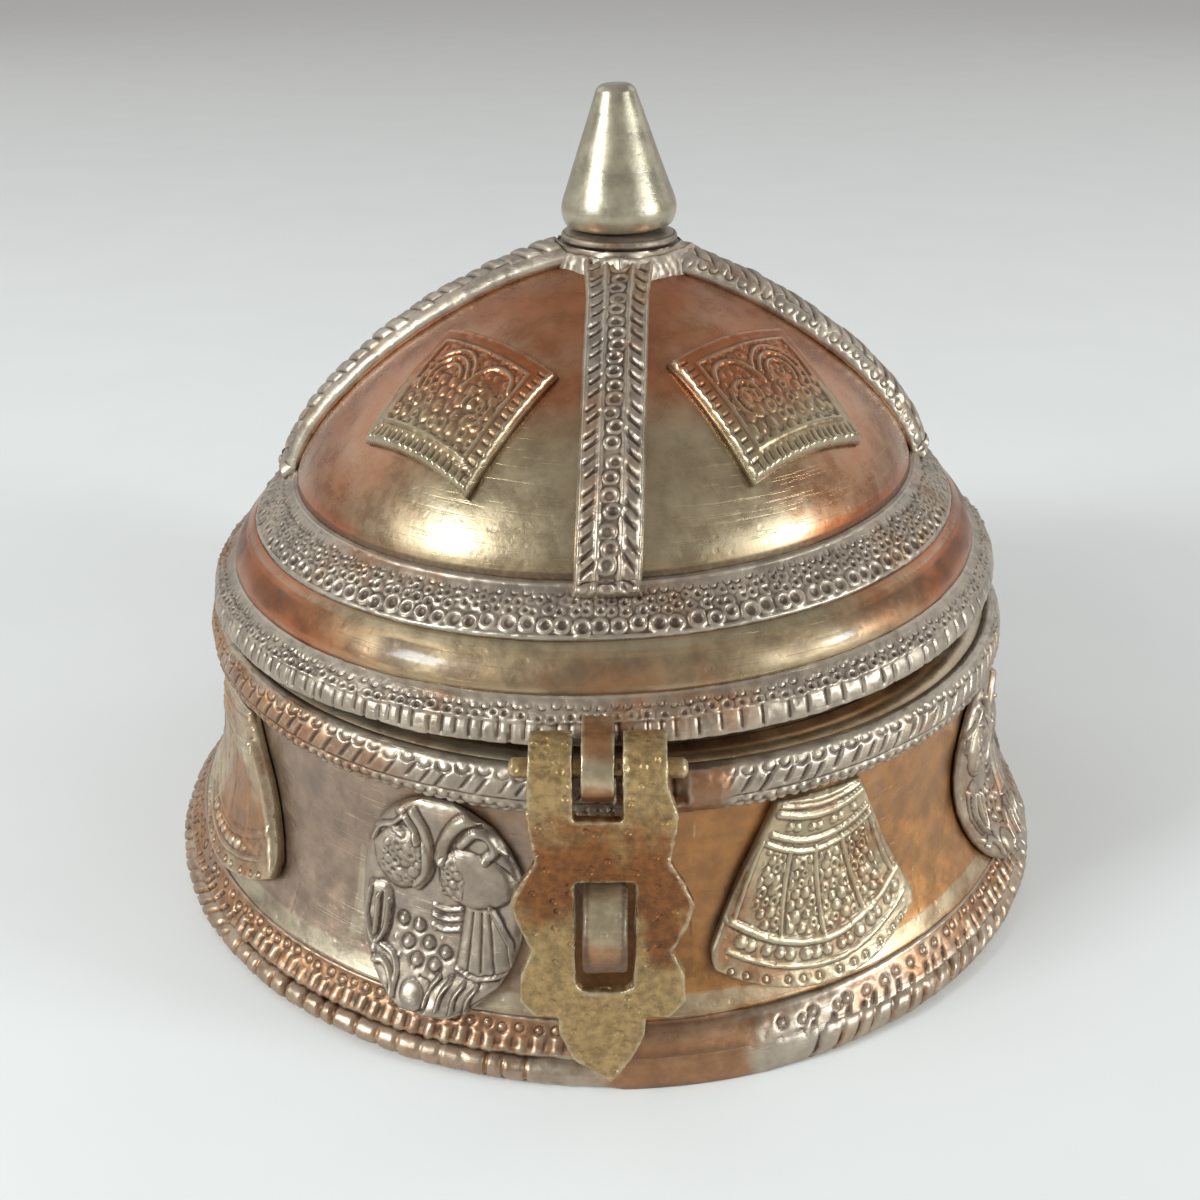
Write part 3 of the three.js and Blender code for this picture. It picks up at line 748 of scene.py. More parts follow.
def hollows(mesh: Mesh) -> Array:
    """Measure how sunk each point is against the metal round it.

    Args:
        mesh: a mesh in millimetres.

    Returns:
        About 1 in a deep recess, 0 on a plain face and -1 on a sharp crest.
    """
    points = points_of(mesh)
    normals = normals_of(mesh)
    pairs = np.empty(len(mesh.edges) * 2, dtype=np.int32)
    mesh.edges.foreach_get("vertices", pairs)
    first, second = pairs[0::2], pairs[1::2]
    links = np.maximum(np.bincount(pairs, minlength=len(points)), 1)
    smooth = points.copy()
    value = np.zeros(len(points))
    fine_steps, wide_steps = 6, 26
    fine_depth, wide_depth = 0.06, 0.15
    for step in range(1, wide_steps + 1):
        for axis in range(3):
            column = smooth[:, axis]
            total = np.bincount(first, weights=column[second], minlength=len(points))
            total += np.bincount(second, weights=column[first], minlength=len(points))
            smooth[:, axis] = 0.5 * column + 0.5 * total / links
        if step == fine_steps:
            value += 0.6 * np.einsum("ij,ij->i", smooth - points, normals) / fine_depth
    value += 0.5 * np.einsum("ij,ij->i", smooth - points, normals) / wide_depth
    return np.clip(value, -1, 1)


class Bench:
    """A bench on which one metal's shader nodes are put together."""

    def __init__(self, name: str) -> None:
        """Lay out a new material with the piece's own coordinates.

        Args:
            name: the material's name.
        """
        self.material = bpy.data.materials.new(name)
        self.material.use_nodes = True
        self.tree = self.material.node_tree
        self.shader = self.tree.nodes["Principled BSDF"]
        self.place = self.node("ShaderNodeTexCoord").outputs["Object"]

    def feed(self, value: object, target: Socket) -> None:
        """Give an input a link or a set value.

        Args:
            value: an output socket, a number or a colour.
            target: the input.
        """
        if isinstance(value, Socket):
            self.tree.links.new(value, target)
        elif isinstance(value, tuple) and len(value) == 3 and target.type == "RGBA":
            target.default_value = (*value, 1.0)
        else:
            target.default_value = value

    def fill(self, node: bpy.types.Node, **inputs: object) -> bpy.types.Node:
        """Feed a node's inputs.

        Args:
            node: the node.
            inputs: what goes into them, by their names with _ for each space.

        Returns:
            The node.
        """
        for name, value in inputs.items():
            self.feed(value, node.inputs[name.replace("_", " ")])
        return node

    def node(self, kind: str, **inputs: object) -> bpy.types.Node:
        """Add one node of a kind and feed its inputs."""
        return self.fill(self.tree.nodes.new(kind), **inputs)

    def attribute(self, name: str) -> Socket:
        """Read a number kept with the piece's points.

        Args:
            name: the attribute's name.

        Returns:
            The number.
        """
        node = self.node("ShaderNodeAttribute")
        node.attribute_name = name
        return node.outputs["Fac"]

    def noise(
        self, size: float, detail: float = 3.0, place: Socket | None = None, roughness: float = 0.55
    ) -> Socket:
        """Add cloudy noise.

        Args:
            size: the clouds' size in millimetres.
            detail: how many finer layers it has.
            place: coordinates to use in place of the piece's own.
            roughness: how strong the finer layers are.

        Returns:
            A value round 0.5.
        """
        node = self.node("ShaderNodeTexNoise", Vector=place or self.place, Scale=1 / (size * MM))
        return self.fill(node, Detail=detail, Roughness=roughness).outputs["Fac"]

    def stretched(self, scale: Place, turn: float) -> Socket:
        """Stretch the piece's coordinates, so that noise on them runs in streaks.

        Args:
            scale: how much each axis is squeezed.
            turn: how far the streaks are turned about Y, in degrees.

        Returns:
            The new coordinates.
        """
        slant = (0, math.radians(turn), 0)
        return self.node("ShaderNodeMapping", Vector=self.place, Scale=scale, Rotation=slant).outputs[0]

    def cells(self, size: float) -> Socket:
        """Scatter points through the metal.

        Args:
            size: about how far apart they are, in millimetres.

        Returns:
            The distance to the nearest one.
        """
        node = self.node("ShaderNodeTexVoronoi", Vector=self.place, Scale=1 / (size * MM))
        return node.outputs["Distance"]

    def ramp(self, value: Socket, low: float, high: float, start: float = 0.0, end: float = 1.0) -> Socket:
        """Ease a value from one level to another.

        Args:
            value: what is read.
            low: where the ramp begins.
            high: where it ends.
            start: the level at its beginning.
            end: the level at its end.

        Returns:
            The eased level.
        """
        node = self.node("ShaderNodeMapRange", Value=value, From_Min=low, From_Max=high)
        node.interpolation_type = "SMOOTHSTEP"
        return self.fill(node, To_Min=start, To_Max=end).outputs["Result"]

    def math(self, kind: str, first: object, second: object) -> Socket:
        """Work out a sum, product or other step from two values.

        Args:
            kind: the step's name.
            first: a number or a number's socket.
            second: a number or a number's socket.

        Returns:
            The result.
        """
        node = self.node("ShaderNodeMath")
        node.operation = kind
        self.feed(first, node.inputs[0])
        self.feed(second, node.inputs[1])
        return node.outputs[0]

    def mix(self, share: object, first: object, second: object, blend: str = "MIX") -> Socket:
        """Mix two colours.

        Args:
            share: how much of the second one shows.
            first: a colour or a socket.
            second: a colour or a socket, where a number's socket is a grey.
            blend: how the second one is laid on.

        Returns:
            The mixed colour.
        """
        node = self.node("ShaderNodeMix")
        node.data_type = "RGBA"
        node.blend_type = blend
        self.feed(share, node.inputs[0])
        self.feed(first, node.inputs[6])
        self.feed(second, node.inputs[7])
        return node.outputs[2]

    def bump(self, height: Socket, depth: float, strength: float, under: Socket | None) -> Socket:
        """Roughen the face.

        Args:
            height: the relief's height from 0 to 1.
            depth: how deep it is, in millimetres.
            strength: how much of it shows.
            under: another bump beneath this one.

        Returns:
            The bent direction of the face.
        """
        node = self.node("ShaderNodeBump", Strength=strength, Distance=depth * MM, Height=height)
        if under is not None:
            self.feed(under, node.inputs["Normal"])
        return node.outputs["Normal"]


@dataclass(frozen=True)
class Patina:
    """A brass surface with its age on it.

    Attributes:
        name: the material's name.
        dull: the colour of the handled metal.
        warm: the redder colour where the patina is left.
        worn: the bright colour on rubbed edges.
        soil_and_shade: the colour of soiling in the recesses, and of the painted shade laid there.
        rough: how rough the handled metal is.
        blotch: the size of the patina's patches, in millimetres.
        warmth: how much of the face the redder patina takes, from 0 to 1.
        wear: how much of the edges is rubbed bright.
        scratches: how deep the scratches are, in millimetres.
        pits: how deep the pits are, in millimetres.
        mottle: how strongly the colour varies over a few millimetres.
        metal: how much of the face is bare metal under the patina.
        wax: how much of a clear waxy shine lies on it.
        shine: how rough that shine is.
        darkening: how dark the recesses and the painted shade get.
        cloud: the size of the finer mottling, in millimetres.
        patchy: how unevenly the redder patina lies.
    """

    name: str
    dull: Colour
    warm: Colour
    worn: Colour
    soil_and_shade: Colour
    rough: float
    blotch: float = 20.0
    warmth: float = 0.5
    wear: float = 0.7
    scratches: float = 0.03
    pits: float = 0.04
    mottle: float = 0.3
    metal: float = 0.8
    wax: float = 0.5
    shine: float = 0.24
    darkening: float = 0.75
    cloud: float = 3.5
    patchy: float = 1.0

    def material(self) -> bpy.types.Material:
        """Put the metal's nodes together.

        Returns:
            The finished material.
        """
        bench = Bench(self.name)
        hollow = bench.attribute("hollow")
        redder = bench.math("MULTIPLY", bench.attribute("warmth"), 0.22)
        redder = bench.math("ADD", redder, 0.5 - 0.5 * self.patchy)
        uneven = bench.math("MULTIPLY", bench.noise(self.blotch, 5.0, roughness=0.6), self.patchy)
        patches = bench.math("ADD", uneven, redder)
        clouds = bench.noise(self.cloud, 6.0, roughness=0.65)
        grain = bench.noise(0.7, 4.0)
        colour = bench.mix(
            bench.ramp(patches, 0.6 - 0.3 * self.warmth, 0.94 - 0.5 * self.warmth), self.dull, self.warm
        )
        shade = bench.ramp(clouds, 0.3, 0.72, 1 - self.mottle, 1 + 0.5 * self.mottle)
        brushed = bench.mix(1.0, colour, shade, "MULTIPLY")
        edge = bench.ramp(bench.math("MULTIPLY", hollow, -1.0), 0.2, 0.85)
        bared = bench.math("MULTIPLY", edge, bench.ramp(clouds, 0.32, 0.62, 0.25, self.wear))
        lit = bench.mix(bared, brushed, self.worn)
        # The recesses darken with soiling, and with the painted shade that each piece is given.
        deep = bench.ramp(hollow, 0.1, 0.95)
        darkening = bench.math("MULTIPLY", deep, bench.ramp(grain, 0.2, 0.6, 0.7 * self.darkening, self.darkening))
        rough = bench.ramp(clouds, 0.3, 0.7, self.rough - 0.06, self.rough + 0.1)
        rough = bench.math("ADD", rough, bench.math("MULTIPLY", darkening, 0.3))
        rough = bench.math("SUBTRACT", rough, bench.math("MULTIPLY", bared, 0.08))
        face = self._face(bench, clouds, grain)
        bench.fill(bench.shader, Base_Color=bench.mix(darkening, lit, self.soil_and_shade), Roughness=rough, Normal=face)
        bench.fill(bench.shader, Metallic=self.metal, Coat_IOR=1.7)
        bench.fill(bench.shader, Coat_Weight=self.wax, Coat_Roughness=self.shine)
        return bench.material

    def _face(self, bench: Bench, clouds: Socket, grain: Socket) -> Socket:
        """Lay dents, pits and two runs of scratches over the face.

        Args:
            bench: the material's bench.
            clouds: noise of a few millimetres.
            grain: noise finer than a millimetre.

        Returns:
            The bent direction of the face.
        """
        level = bench.noise(1.0, 3.0, bench.stretched((0.05, 0.05, 2.6), 0), 0.7)
        slanted = bench.noise(1.0, 3.0, bench.stretched((0.06, 0.06, 3.2), 38), 0.7)
        lines = bench.math("MAXIMUM", bench.ramp(level, 0.6, 0.68), bench.ramp(slanted, 0.64, 0.7))
        holes = bench.ramp(bench.cells(1.6), 0.12, 0.3)
        face = bench.bump(clouds, 0.12, 0.5, None)
        face = bench.bump(grain, self.pits, 0.5, face)
        face = bench.bump(holes, self.pits, 0.6, face)
        return bench.bump(lines, -self.scratches, 0.6, face)


class Finish(Enum):
    """The brass finishes on the box."""

    WALL = Patina(
        "wall brass",
        dull=(0.31, 0.21, 0.145), warm=(0.4, 0.175, 0.05), worn=(0.5, 0.42, 0.28),
        soil_and_shade=(0.06, 0.026, 0.012), rough=0.36, blotch=18.0, warmth=0.55, wax=0.35,
    )
    # The dome's redder colour is partly patina and partly a painted reflection of a red cloth.
    DOME = Patina(
        "dome brass",
        dull=(0.33, 0.235, 0.13), warm=(0.38, 0.115, 0.033), worn=(0.4, 0.33, 0.22),
        soil_and_shade=(0.06, 0.028, 0.014), rough=0.3, blotch=26.0, scratches=0.02, pits=0.02, mottle=0.2,
        wax=0.2, shine=0.12, patchy=0.6,
    )
    RELIEF = Patina(
        "chased brass",
        dull=(0.39, 0.31, 0.235), warm=(0.36, 0.18, 0.085), worn=(0.47, 0.4, 0.31),
        soil_and_shade=(0.07, 0.036, 0.022), rough=0.4, blotch=16.0, warmth=0.6, wear=0.65, wax=0.16, darkening=0.85,
    )
    # Lighter, golden brass that paints the warm light on the bells; the front lug and the staple use it
    # too.
    BRIGHT = Patina(
        "painted-light brass",
        dull=(0.51, 0.39, 0.24), warm=(0.36, 0.17, 0.07), worn=(0.54, 0.46, 0.32),
        soil_and_shade=(0.07, 0.034, 0.018), rough=0.38, blotch=10.0, pits=0.1, wax=0.28,
    )
    HARDWARE = Patina(
        "cut brass",
        dull=(0.41, 0.265, 0.11), warm=(0.24, 0.085, 0.02), worn=(0.52, 0.42, 0.26),
        soil_and_shade=(0.06, 0.027, 0.012), rough=0.38, blotch=9.0, pits=0.3, mottle=0.42, wax=0.2, shine=0.3,
        cloud=1.1,
    )
    FINIAL = Patina(
        "turned brass",
        dull=(0.41, 0.35, 0.245), warm=(0.27, 0.12, 0.05), worn=(0.4, 0.37, 0.3),
        soil_and_shade=(0.06, 0.034, 0.02), rough=0.32, blotch=14.0, scratches=0.015, pits=0.02, warmth=0.4,
        mottle=0.25, wax=0.3, shine=0.2,
    )
    # A darker brass for the collar: painted shade, as it stands in the dark gap under the lid.
    COLLAR = Patina(
        "shade-darkened brass",
        dull=(0.17, 0.1, 0.055), warm=(0.15, 0.065, 0.028), worn=(0.34, 0.22, 0.12),
        soil_and_shade=(0.05, 0.024, 0.012), rough=0.42, blotch=18.0, scratches=0.05, wax=0.2,
    )


@cache
def metal(finish: Finish) -> bpy.types.Material:
    """Make a finish's material, once."""
    return finish.value.material()


@dataclass(frozen=True)
class Stand:
    """Where a piece belongs.

    Attributes:
        body: the CAD body that it moves with.
        nodes: the CAD nodes that it stands for.
        slot: a material slot's name; not used.
        finish: its metal.
    """

    body: str
    nodes: tuple[str, ...]
    slot: str
    finish: Finish


def keep(mesh: Mesh, name: str, values: Array) -> None:
    """Keep a number with each of a mesh's points, for the metal's nodes to read."""
    kept = mesh.attributes.new(name, "FLOAT", "POINT")
    kept.data.foreach_set("value", np.clip(values, -1, 1).astype(np.float32))


def set_out(mesh: Mesh, stand: Stand, soil_and_shade: Array | float = 0.0, warmth: Array | float = 0.0) -> None:
    """Put a shaped mesh in the scene, in metres, with its metal and its place in the frame.

    Args:
        mesh: the piece in millimetres.
        stand: where it belongs.
        soil_and_shade: how much more soiling and painted shade each point holds than its own shape gives
            it.
        warmth: how much redder, or if it is negative greyer, the patina is at each point.
    """
    values = hollows(mesh)
    # The piece's extra soiling and painted shade ride on its hollow number.
    keep(mesh, "hollow", values + soil_and_shade)
    keep(mesh, "warmth", 0 * values + warmth)
    set_points(mesh, points_of(mesh) * MM)
    piece = bpy.data.objects.new(mesh.name, mesh)
    bpy.context.scene.collection.objects.link(piece)
    mesh.materials.append(metal(stand.finish))
    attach(piece, stand.body)
    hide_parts(*stand.nodes)
    LOG.info("%s: %d faces, %s", piece.name, len(mesh.polygons), stand.finish.value.name)


def rubbed(points: Array, seed: float) -> Array:
    """Work out how much of the chasing use has left on a turned piece, patch by patch."""
    return 0.72 + 0.34 * unevenness(points, 9, seed)


def dented(points: Array, size: float, deep: float, seed: float) -> Array:
    """Dent a face in soft hollows of a size, with a fine grain over them.

    Args:
        points: places in millimetres.
        size: the hollows' size.
        deep: how far they reach.
        seed: picks one of many fields.

    Returns:
        The height at each point.
    """
    return deep * unevenness(points, size, seed) + 0.07 * unevenness(points, 0.9, seed + 50)


def worked(mesh: Mesh, heights: Array) -> None:
    """Push a mesh's points out by their heights, along the way each one faces."""
    set_points(mesh, points_of(mesh) + normals_of(mesh) * heights[:, None])


@dataclass
class Turning:
    """A turned piece with its face laid flat for the chasing.

    Attributes:
        mesh: the piece in millimetres.
        points: where its points stand as it comes off the lathe.
        angle: each point's azimuth in radians.
        work: the chasing on its face.
        length: the distance once round it.
    """

    mesh: Mesh
    points: Array
    angle: Array
    work: Relief
    length: float

    @property
    def degrees(self) -> Array:
        """Give each point's azimuth in degrees."""
        return np.degrees(self.angle)

    def strike(self, row: Row, mask: Array | float = 1.0) -> None:
        """Strike a row of marks round the piece, where the mask is 1."""
        self.work.stamp(row, self.length, mask)

    def rule(self, levels: tuple[float, ...], tall: float, width: float) -> None:
        """Raise thin lines round the piece at some levels."""
        for level in levels:
            self.work.raised += tall * hump(self.work.up, level, width)


def turned(name: str, profile: Line, steps: int, radius: float, seed: float) -> Turning:
    """Turn a ring from its section and lay its face flat.

    Args:
        name: the mesh's name.
        profile: the section's points of radius and height.
        steps: about how many steps go round.
        radius: the radius on which the chasing is laid out.
        seed: picks where use has rubbed it.

    Returns:
        The turned piece.
    """
    mesh = spun(name, profile, steps, True)
    points = points_of(mesh)
    angle = azimuths(points)
    work = Relief(angle * radius, along_profile(points, profile), rubbed(points, seed))
    return Turning(mesh, points, angle, work, 2 * math.pi * radius)


class Motif(Enum):
    """What a wall panel shows."""

    BIRD = "bird"
    BELL = "bell"


@dataclass(frozen=True)
class PanelPlace:
    """A panel's motif, its number round the wall and where its middle stands.

    Attributes:
        motif: what it shows.
        number: its number round the wall.
        azimuth: its middle's azimuth in degrees.
    """

    motif: Motif
    number: int
    azimuth: float

    @property
    def node(self) -> str:
        """Name the CAD node that the panel stands for."""
        return f"{self.motif.value}_panel_{self.number}"


PANELS = (
    PanelPlace(Motif.BIRD, 1, -20.5),
    PanelPlace(Motif.BELL, 2, 27.0),
    PanelPlace(Motif.BIRD, 3, 67.0),
    PanelPlace(Motif.BELL, 4, 112.0),
    PanelPlace(Motif.BIRD, 5, 157.0),
    PanelPlace(Motif.BELL, 6, -158.0),
    PanelPlace(Motif.BIRD, 7, -108.0),
    PanelPlace(Motif.BELL, 8, -61.0),
)


@dataclass
class WallPanels:
    """The bird and bell panels soldered round the wall.

    Attributes:
        thickness: how thick the panels are, in millimetres.
        bell_top: half a bell's angle at its top, in degrees.
        bell_foot: half a bell's angle at its foot.
        bell_share: a bell's height as a share of the wall under the rim wire.
        bell_sag: how far a bell's foot curves up to its corners.
        bird_half: half a bird panel's angle at its middle.
        bird_share: its height as a share of the wall under the rim wire.
        bird_end: how wide its ends are against its middle.
        ground_radius: the radius on which the ornament was laid flat.
        edge: how far in from the sides the panels are rounded off.
    """

    thickness: float = 1.3
    bell_top: float = 6.0
    bell_foot: float = 15.5
    bell_share: float = 0.743
    bell_sag: float = 4.0
    bird_half: float = 11.0
    bird_share: float = 0.813
    bird_end: float = 0.16
    ground_radius: float = 54.0
    edge: float = 0.8

    def build(self) -> None:
        """Build every panel."""
        for place in PANELS:
            mesh = sheet(f"{place.motif.value}_{place.number}", 11, 10, 13)
            flat = points_of(mesh)
            across, height = self.laid(place.motif, flat[:, 0], (flat[:, 1] + 1) / 2)
            if place.motif is Motif.BELL:
                relief = self.bell_work(across, height, place.number)
            else:
                relief = self.bird_work(across, height, place.number)
            relief -= self.rounding(place.motif, flat, across)
            relief += dented(np.column_stack([across, height, flat[:, 2]]), 4, 0.08, place.number)
            relief = np.where(flat[:, 2] > 0.5, relief, 0)
            out = SHAPE.solder_gap + self.thickness * flat[:, 2] + relief
            radius = SHAPE.wall_radius(height) + out
            turn = math.radians(place.azimuth) + across / self.ground_radius
            set_points(mesh, placed(radius, turn, height))
            # Bells take the lighter, golden brass, which paints warm light on them.
            finish = Finish.BRIGHT if place.motif is Motif.BELL else Finish.RELIEF
            warmth = -0.1 if place.azimuth > -50 else 0.5
            set_out(mesh, Stand("body", (place.node,), "relief", finish), 0.0, warmth)

    def laid(self, motif: Motif, across: Array, up: Array) -> tuple[Array, Array]:
        """Lay a panel's square sheet into its own outline.

        Args:
            motif: what the panel shows.
            across: from -1 at the left to 1 at the right.
            up: from 0 at the foot to 1 at the top.

        Returns:
            The places along the wall in millimetres, and the heights.
        """
        if motif is Motif.BELL:
            half = self.bell_top + (self.bell_foot - self.bell_top) * (1 - up)
            half *= 1 - 0.08 * np.clip(1 - up / 0.14, 0, 1) ** 2
            sag = self.bell_sag * across**2 * (1 - up)
            height = SHAPE.panel_top * (1 - self.bell_share * (1 - up)) + sag
        else:
            half = self.bird_half * np.sqrt(1 - (1 - self.bird_end**2) * (2 * up - 1) ** 2)
            height = SHAPE.panel_top * (1 - self.bird_share * (1 - up))
        return np.radians(across * half) * self.ground_radius, height

    def rounding(self, motif: Motif, flat: Array, across: Array) -> Array:
        """Work out how far the panel's edges are rounded off: a bird's fall softly to the wall.

        Args:
            motif: what the panel shows.
            flat: the sheet's points, from -1 to 1 both ways.
            across: the places along the wall in millimetres.

        Returns:
            How far each point drops.
        """
        half = self.laid(motif, np.ones(len(flat)), (flat[:, 1] + 1) / 2)[0]
        side = half - np.abs(across)
        end = (1 - np.abs(flat[:, 1])) * 12.0
        soft = 2.2 if motif is Motif.BIRD else 1.0
        share = 1 - np.clip(np.minimum(side, end) / (soft * self.edge), 0, 1)
        return 0.55 * soft * self.edge * (1 - domed(share))

    def outline(self, motif: Motif) -> Line:
        """Give a panel's outline.

        Args:
            motif: what the panel shows.

        Returns:
            The corners, as places along the wall and heights.
        """
        turns = np.linspace(-1, 1, 17)
        ones = np.ones(17)
        sides = [(turns, 0 * ones), (ones, (turns + 1) / 2), (-turns, ones), (-ones, (1 - turns) / 2)]
        line = []
        for across, up in sides:
            line += line_of(*self.laid(motif, across, up))
        return line

    def bell_work(self, across: Array, height: Array, number: int) -> Array:
        """Chase a bell: curved ridges, bead rows, and lanes filled with studs.

        Args:
            across: places along the wall in millimetres from the bell's middle.
            height: heights over the table.
            number: the bell's number round the wall, which makes its hand work its own.

        Returns:
            The relief's height at each point.
        """
        plain = number == PANELS[-1].number
        work = Relief(across, height, 0.35 if plain else 0.8)
        ridges = (
            (31.0, 0.03, 5.0, 0.5, 0.22),
            (30.2, 0.03, 5.2, 0.5, 0.22),
            (28.9, 0.04, 5.6, 0.95, 0.5),
            (25.6, 0.05, 6.4, 0.8, 0.45),
            (24.1, 0.05, 7.0, 0.7, 0.4),
            (13.1, 0.034, 11.4, 1.0, 0.55),
            (10.5, 0.026, 12.0, 0.6, 0.32),
        )
        for level, bend, half, width, tall in ridges:
            x = np.linspace(-half, half, 15)
            work.ridge(line_of(x, level + bend * x * x), width, tall)
        for i in range(7):
            x = -4.4 + 1.45 * i + 0.25 * math.sin(3.1 * i + number)
            work.bead((x, 27.3 + 0.045 * x * x), (1.15, 1.0), 0.42)
        for i in range(15):
            x = -10.6 + 1.52 * i + 0.25 * math.sin(2.3 * i + number)
            size = 1.3 + 0.15 * math.sin(5.0 * i + number)
            work.bead((x, 11.75 + 0.03 * x * x), (size, size), 0.5)
        for i in range(12):
            x = -12.0 + 2.1 * i + 0.3 * math.sin(1.9 * i + number)
            work.ring((x, 9.15 + 0.019 * x * x), 0.95, 0.3)
        dividers = ((-7.6, -10.9), (-3.9, -5.6), (-0.6, -0.2), (3.0, 5.6), (7.0, 10.6))
        for top, foot in dividers:
            low = 13.7 + 0.034 * foot * foot
            work.ridge([(top, 24.4 + 0.04 * top * top), (foot, low)], 0.6, 0.35)
        spread = (13.2 - 0.29 * (height - 13)) / 13.2
        low = 13.7 + 0.034 * across**2
        high = 23.5 + 0.05 * across**2
        lane = np.clip((height - low) / 0.3, 0, 1) * np.clip((high - height) / 0.3, 0, 1)
        lane *= np.clip((8.1 - np.abs(across - 0.2) / (1.28 * spread)) / 0.3, 0, 1)
        for top, foot in dividers:
            share = np.clip((24.4 - height) / 10.7, 0, 1)
            lane *= np.clip((np.abs(across - top - (foot - top) * share) - 0.35) / 0.3, 0, 1)
        if plain:
            work.left = np.where(height > 13, 0.3, 0.8)
            edge = Relief(across, height, 1.0)
            edge.ridge([(6.6, 27.5), (13.7, 12.9)], 1.3, 0.75)
            return work.heights() + edge.heights()
        lanes = Relief(across / spread, height, 0.8)
        lanes.studs(1.5, 1.3, 0.42, lane, number)
        return work.heights() + lanes.heights()

    def bird_work(self, across: Array, height: Array, seed: float) -> Array:
        """Chase a bird: a scaled breast, lifted wing, fanned tail, drop, rosette and leaf.

        Args:
            across: places along the wall in millimetres from the panel's middle.
            height: heights over the table.
            seed: makes each bird's hand work its own.

        Returns:
            The relief's height at each point.
        """
        work = Relief(across, height)
        breast = [(-8.4, 24.4), (-6.0, 26.9), (-2.9, 27.3), (-0.9, 25.6), (-0.7, 22.6), (-2.6, 20.2)]
        breast += [(-5.2, 19.4), (-7.8, 21.4)]
        body = [(0.2, 24.6), (3.2, 26.2), (7.0, 25.2), (9.3, 22.6), (8.0, 19.9), (4.4, 18.9), (0.9, 20.6)]
        leaf = [(-0.4, 5.9), (1.0, 9.6), (3.4, 10.9), (7.6, 11.0), (8.6, 10.6), (5.0, 8.2), (2.6, 6.6)]
        drop = [(-8.9, 18.9), (-9.0, 15.2), (-7.2, 12.1), (-5.6, 13.6), (-5.5, 17.4), (-6.6, 19.3)]
        cushions = ((breast, 0.95, 3.0), (body, 1.0, 3.2), (leaf, 0.55, 1.2), (drop, 0.6, 1.2))
        for corners, tall, soft in cushions:
            work.cushion(soft_line(corners + corners[:1], 4)[:-1], tall, soft)
        fan = [(3.6, 19.4), (3.0, 12.0), (5.6, 11.4), (9.4, 12.2), (9.0, 15.8), (6.8, 19.4)]
        work.cushion(fan, 0.6, 1.3)
        wing = [(0.4, 24.5), (1.2, 27.2), (2.9, 29.6), (5.2, 30.5), (7.4, 29.7), (9.2, 27.4), (9.8, 24.9)]
        curves = (
            ([(-2.9, 29.9), (-1.6, 27.9), (-1.0, 25.4), (-1.1, 22.4), (-2.3, 20.4)], 1.2, 0.95),
            ([(-3.9, 28.8), (-2.7, 27.4), (-2.2, 26.2)], 0.7, 0.75),
            ([(-8.6, 24.6), (-7.4, 26.7), (-5.6, 27.6), (-4.3, 28.8)], 0.6, 0.7),
            ([(-8.6, 26.2), (-6.4, 27.2), (-4.0, 26.8)], 0.5, 0.6),
            (wing, 1.6, 0.95),
            ([(3.0, 26.9), (4.6, 28.6), (6.2, 28.4), (7.0, 26.8), (6.0, 25.6)], 1.1, 0.8),
            ([(7.2, 29.2), (6.9, 27.6), (8.4, 26.2)], 0.5, 0.6),
            ([(-8.3, 18.6), (-8.5, 15.6), (-7.0, 12.6), (-5.9, 14.2), (-5.8, 17.4)], 0.45, 0.85),
            ([(3.0, 11.9), (5.6, 11.2), (9.4, 12.1)], 0.45, 0.7),
            ([(-6.9, 10.3), (-5.6, 10.6), (-4.2, 9.0), (-3.9, 7.6)], 0.8, 0.7),
            ([(-6.2, 12.2), (-4.6, 11.6), (-3.8, 10.0), (-3.9, 7.9)], 0.6, 0.6),
        )
        for places, width, tall in curves:
            work.ridge(soft_line(places), width, tall)
        for level in (18.4, 17.2, 16.0):
            work.ridge(soft_line([(-0.3, level), (1.2, level - 0.3), (3.0, level + 0.1)]), 0.5, 0.4)
        work.ridge([(-7.2, 17.9), (-7.0, 13.6)], 0.4, 0.85)
        work.ridge([(6.5, 19.5), (8.9, 15.6), (9.4, 12.2)], 0.45, 0.75)
        work.groove([(-6.8, 18.2), (-6.6, 13.8)], 0.35, 0.3)
        for x_top, x_foot in ((4.6, 4.4), (5.6, 5.9), (6.5, 7.4)):
            work.groove([(x_top, 18.6), (x_foot, 12.0)], 0.45, 0.35)
        work.bead((-4.7, 29.4), (1.4, 1.0), 0.4)
        rosette = ((-1.9, 15.3), (-3.0, 13.2), (-0.5, 13.6), (-1.7, 11.5), (0.5, 11.4), (1.6, 13.0))
        for place in (*rosette, (-4.0, 15.6)):
            work.ring(place, 1.9, 0.3)
            work.bead(place, (1.15, 1.15), 0.5)
        for i in range(9):
            angle = i * 0.72 + seed
            place = (-1.6 + 3.0 * math.cos(angle), 13.4 + 2.6 * math.sin(angle))
            work.bead(place, (0.55, 0.55), 0.28)
        for x_top, x_foot in ((0.6, 0.0), (2.0, 1.5), (3.5, 3.1), (5.0, 4.6)):
            curve = [(x_top + 0.7, 10.5), (x_top - 0.1, 9.2), (x_foot + 0.1, 7.4)]
            work.ridge(soft_line(curve), 0.45, 0.85)
        work.bead((-1.5, 7.9), (2.7, 3.4), 0.95, 12)
        work.groove(soft_line([(-2.2, 6.0), (0.1, 6.9), (0.3, 9.4), (-1.0, 10.0)]), 0.4, 0.3)
        work.bead((-7.3, 11.3), (1.0, 1.0), 0.4)
        scales = [
            [(-7.2, 21.2), (-6.4, 25.6), (-3.4, 26.4), (-1.7, 24.8), (-1.7, 21.8), (-4.4, 20.0)],
            [(0.3, 20.0), (0.4, 24.4), (2.4, 25.2), (3.6, 22.8), (3.2, 19.6)],
        ]
        for area in scales:
            scaled = Relief(across + 0.2, height)
            scaled.studs(1.3, 1.25, 0.32, within(across, height, area), seed + 3)
            work.raised = np.maximum(work.raised, scaled.raised)
        return work.heights()


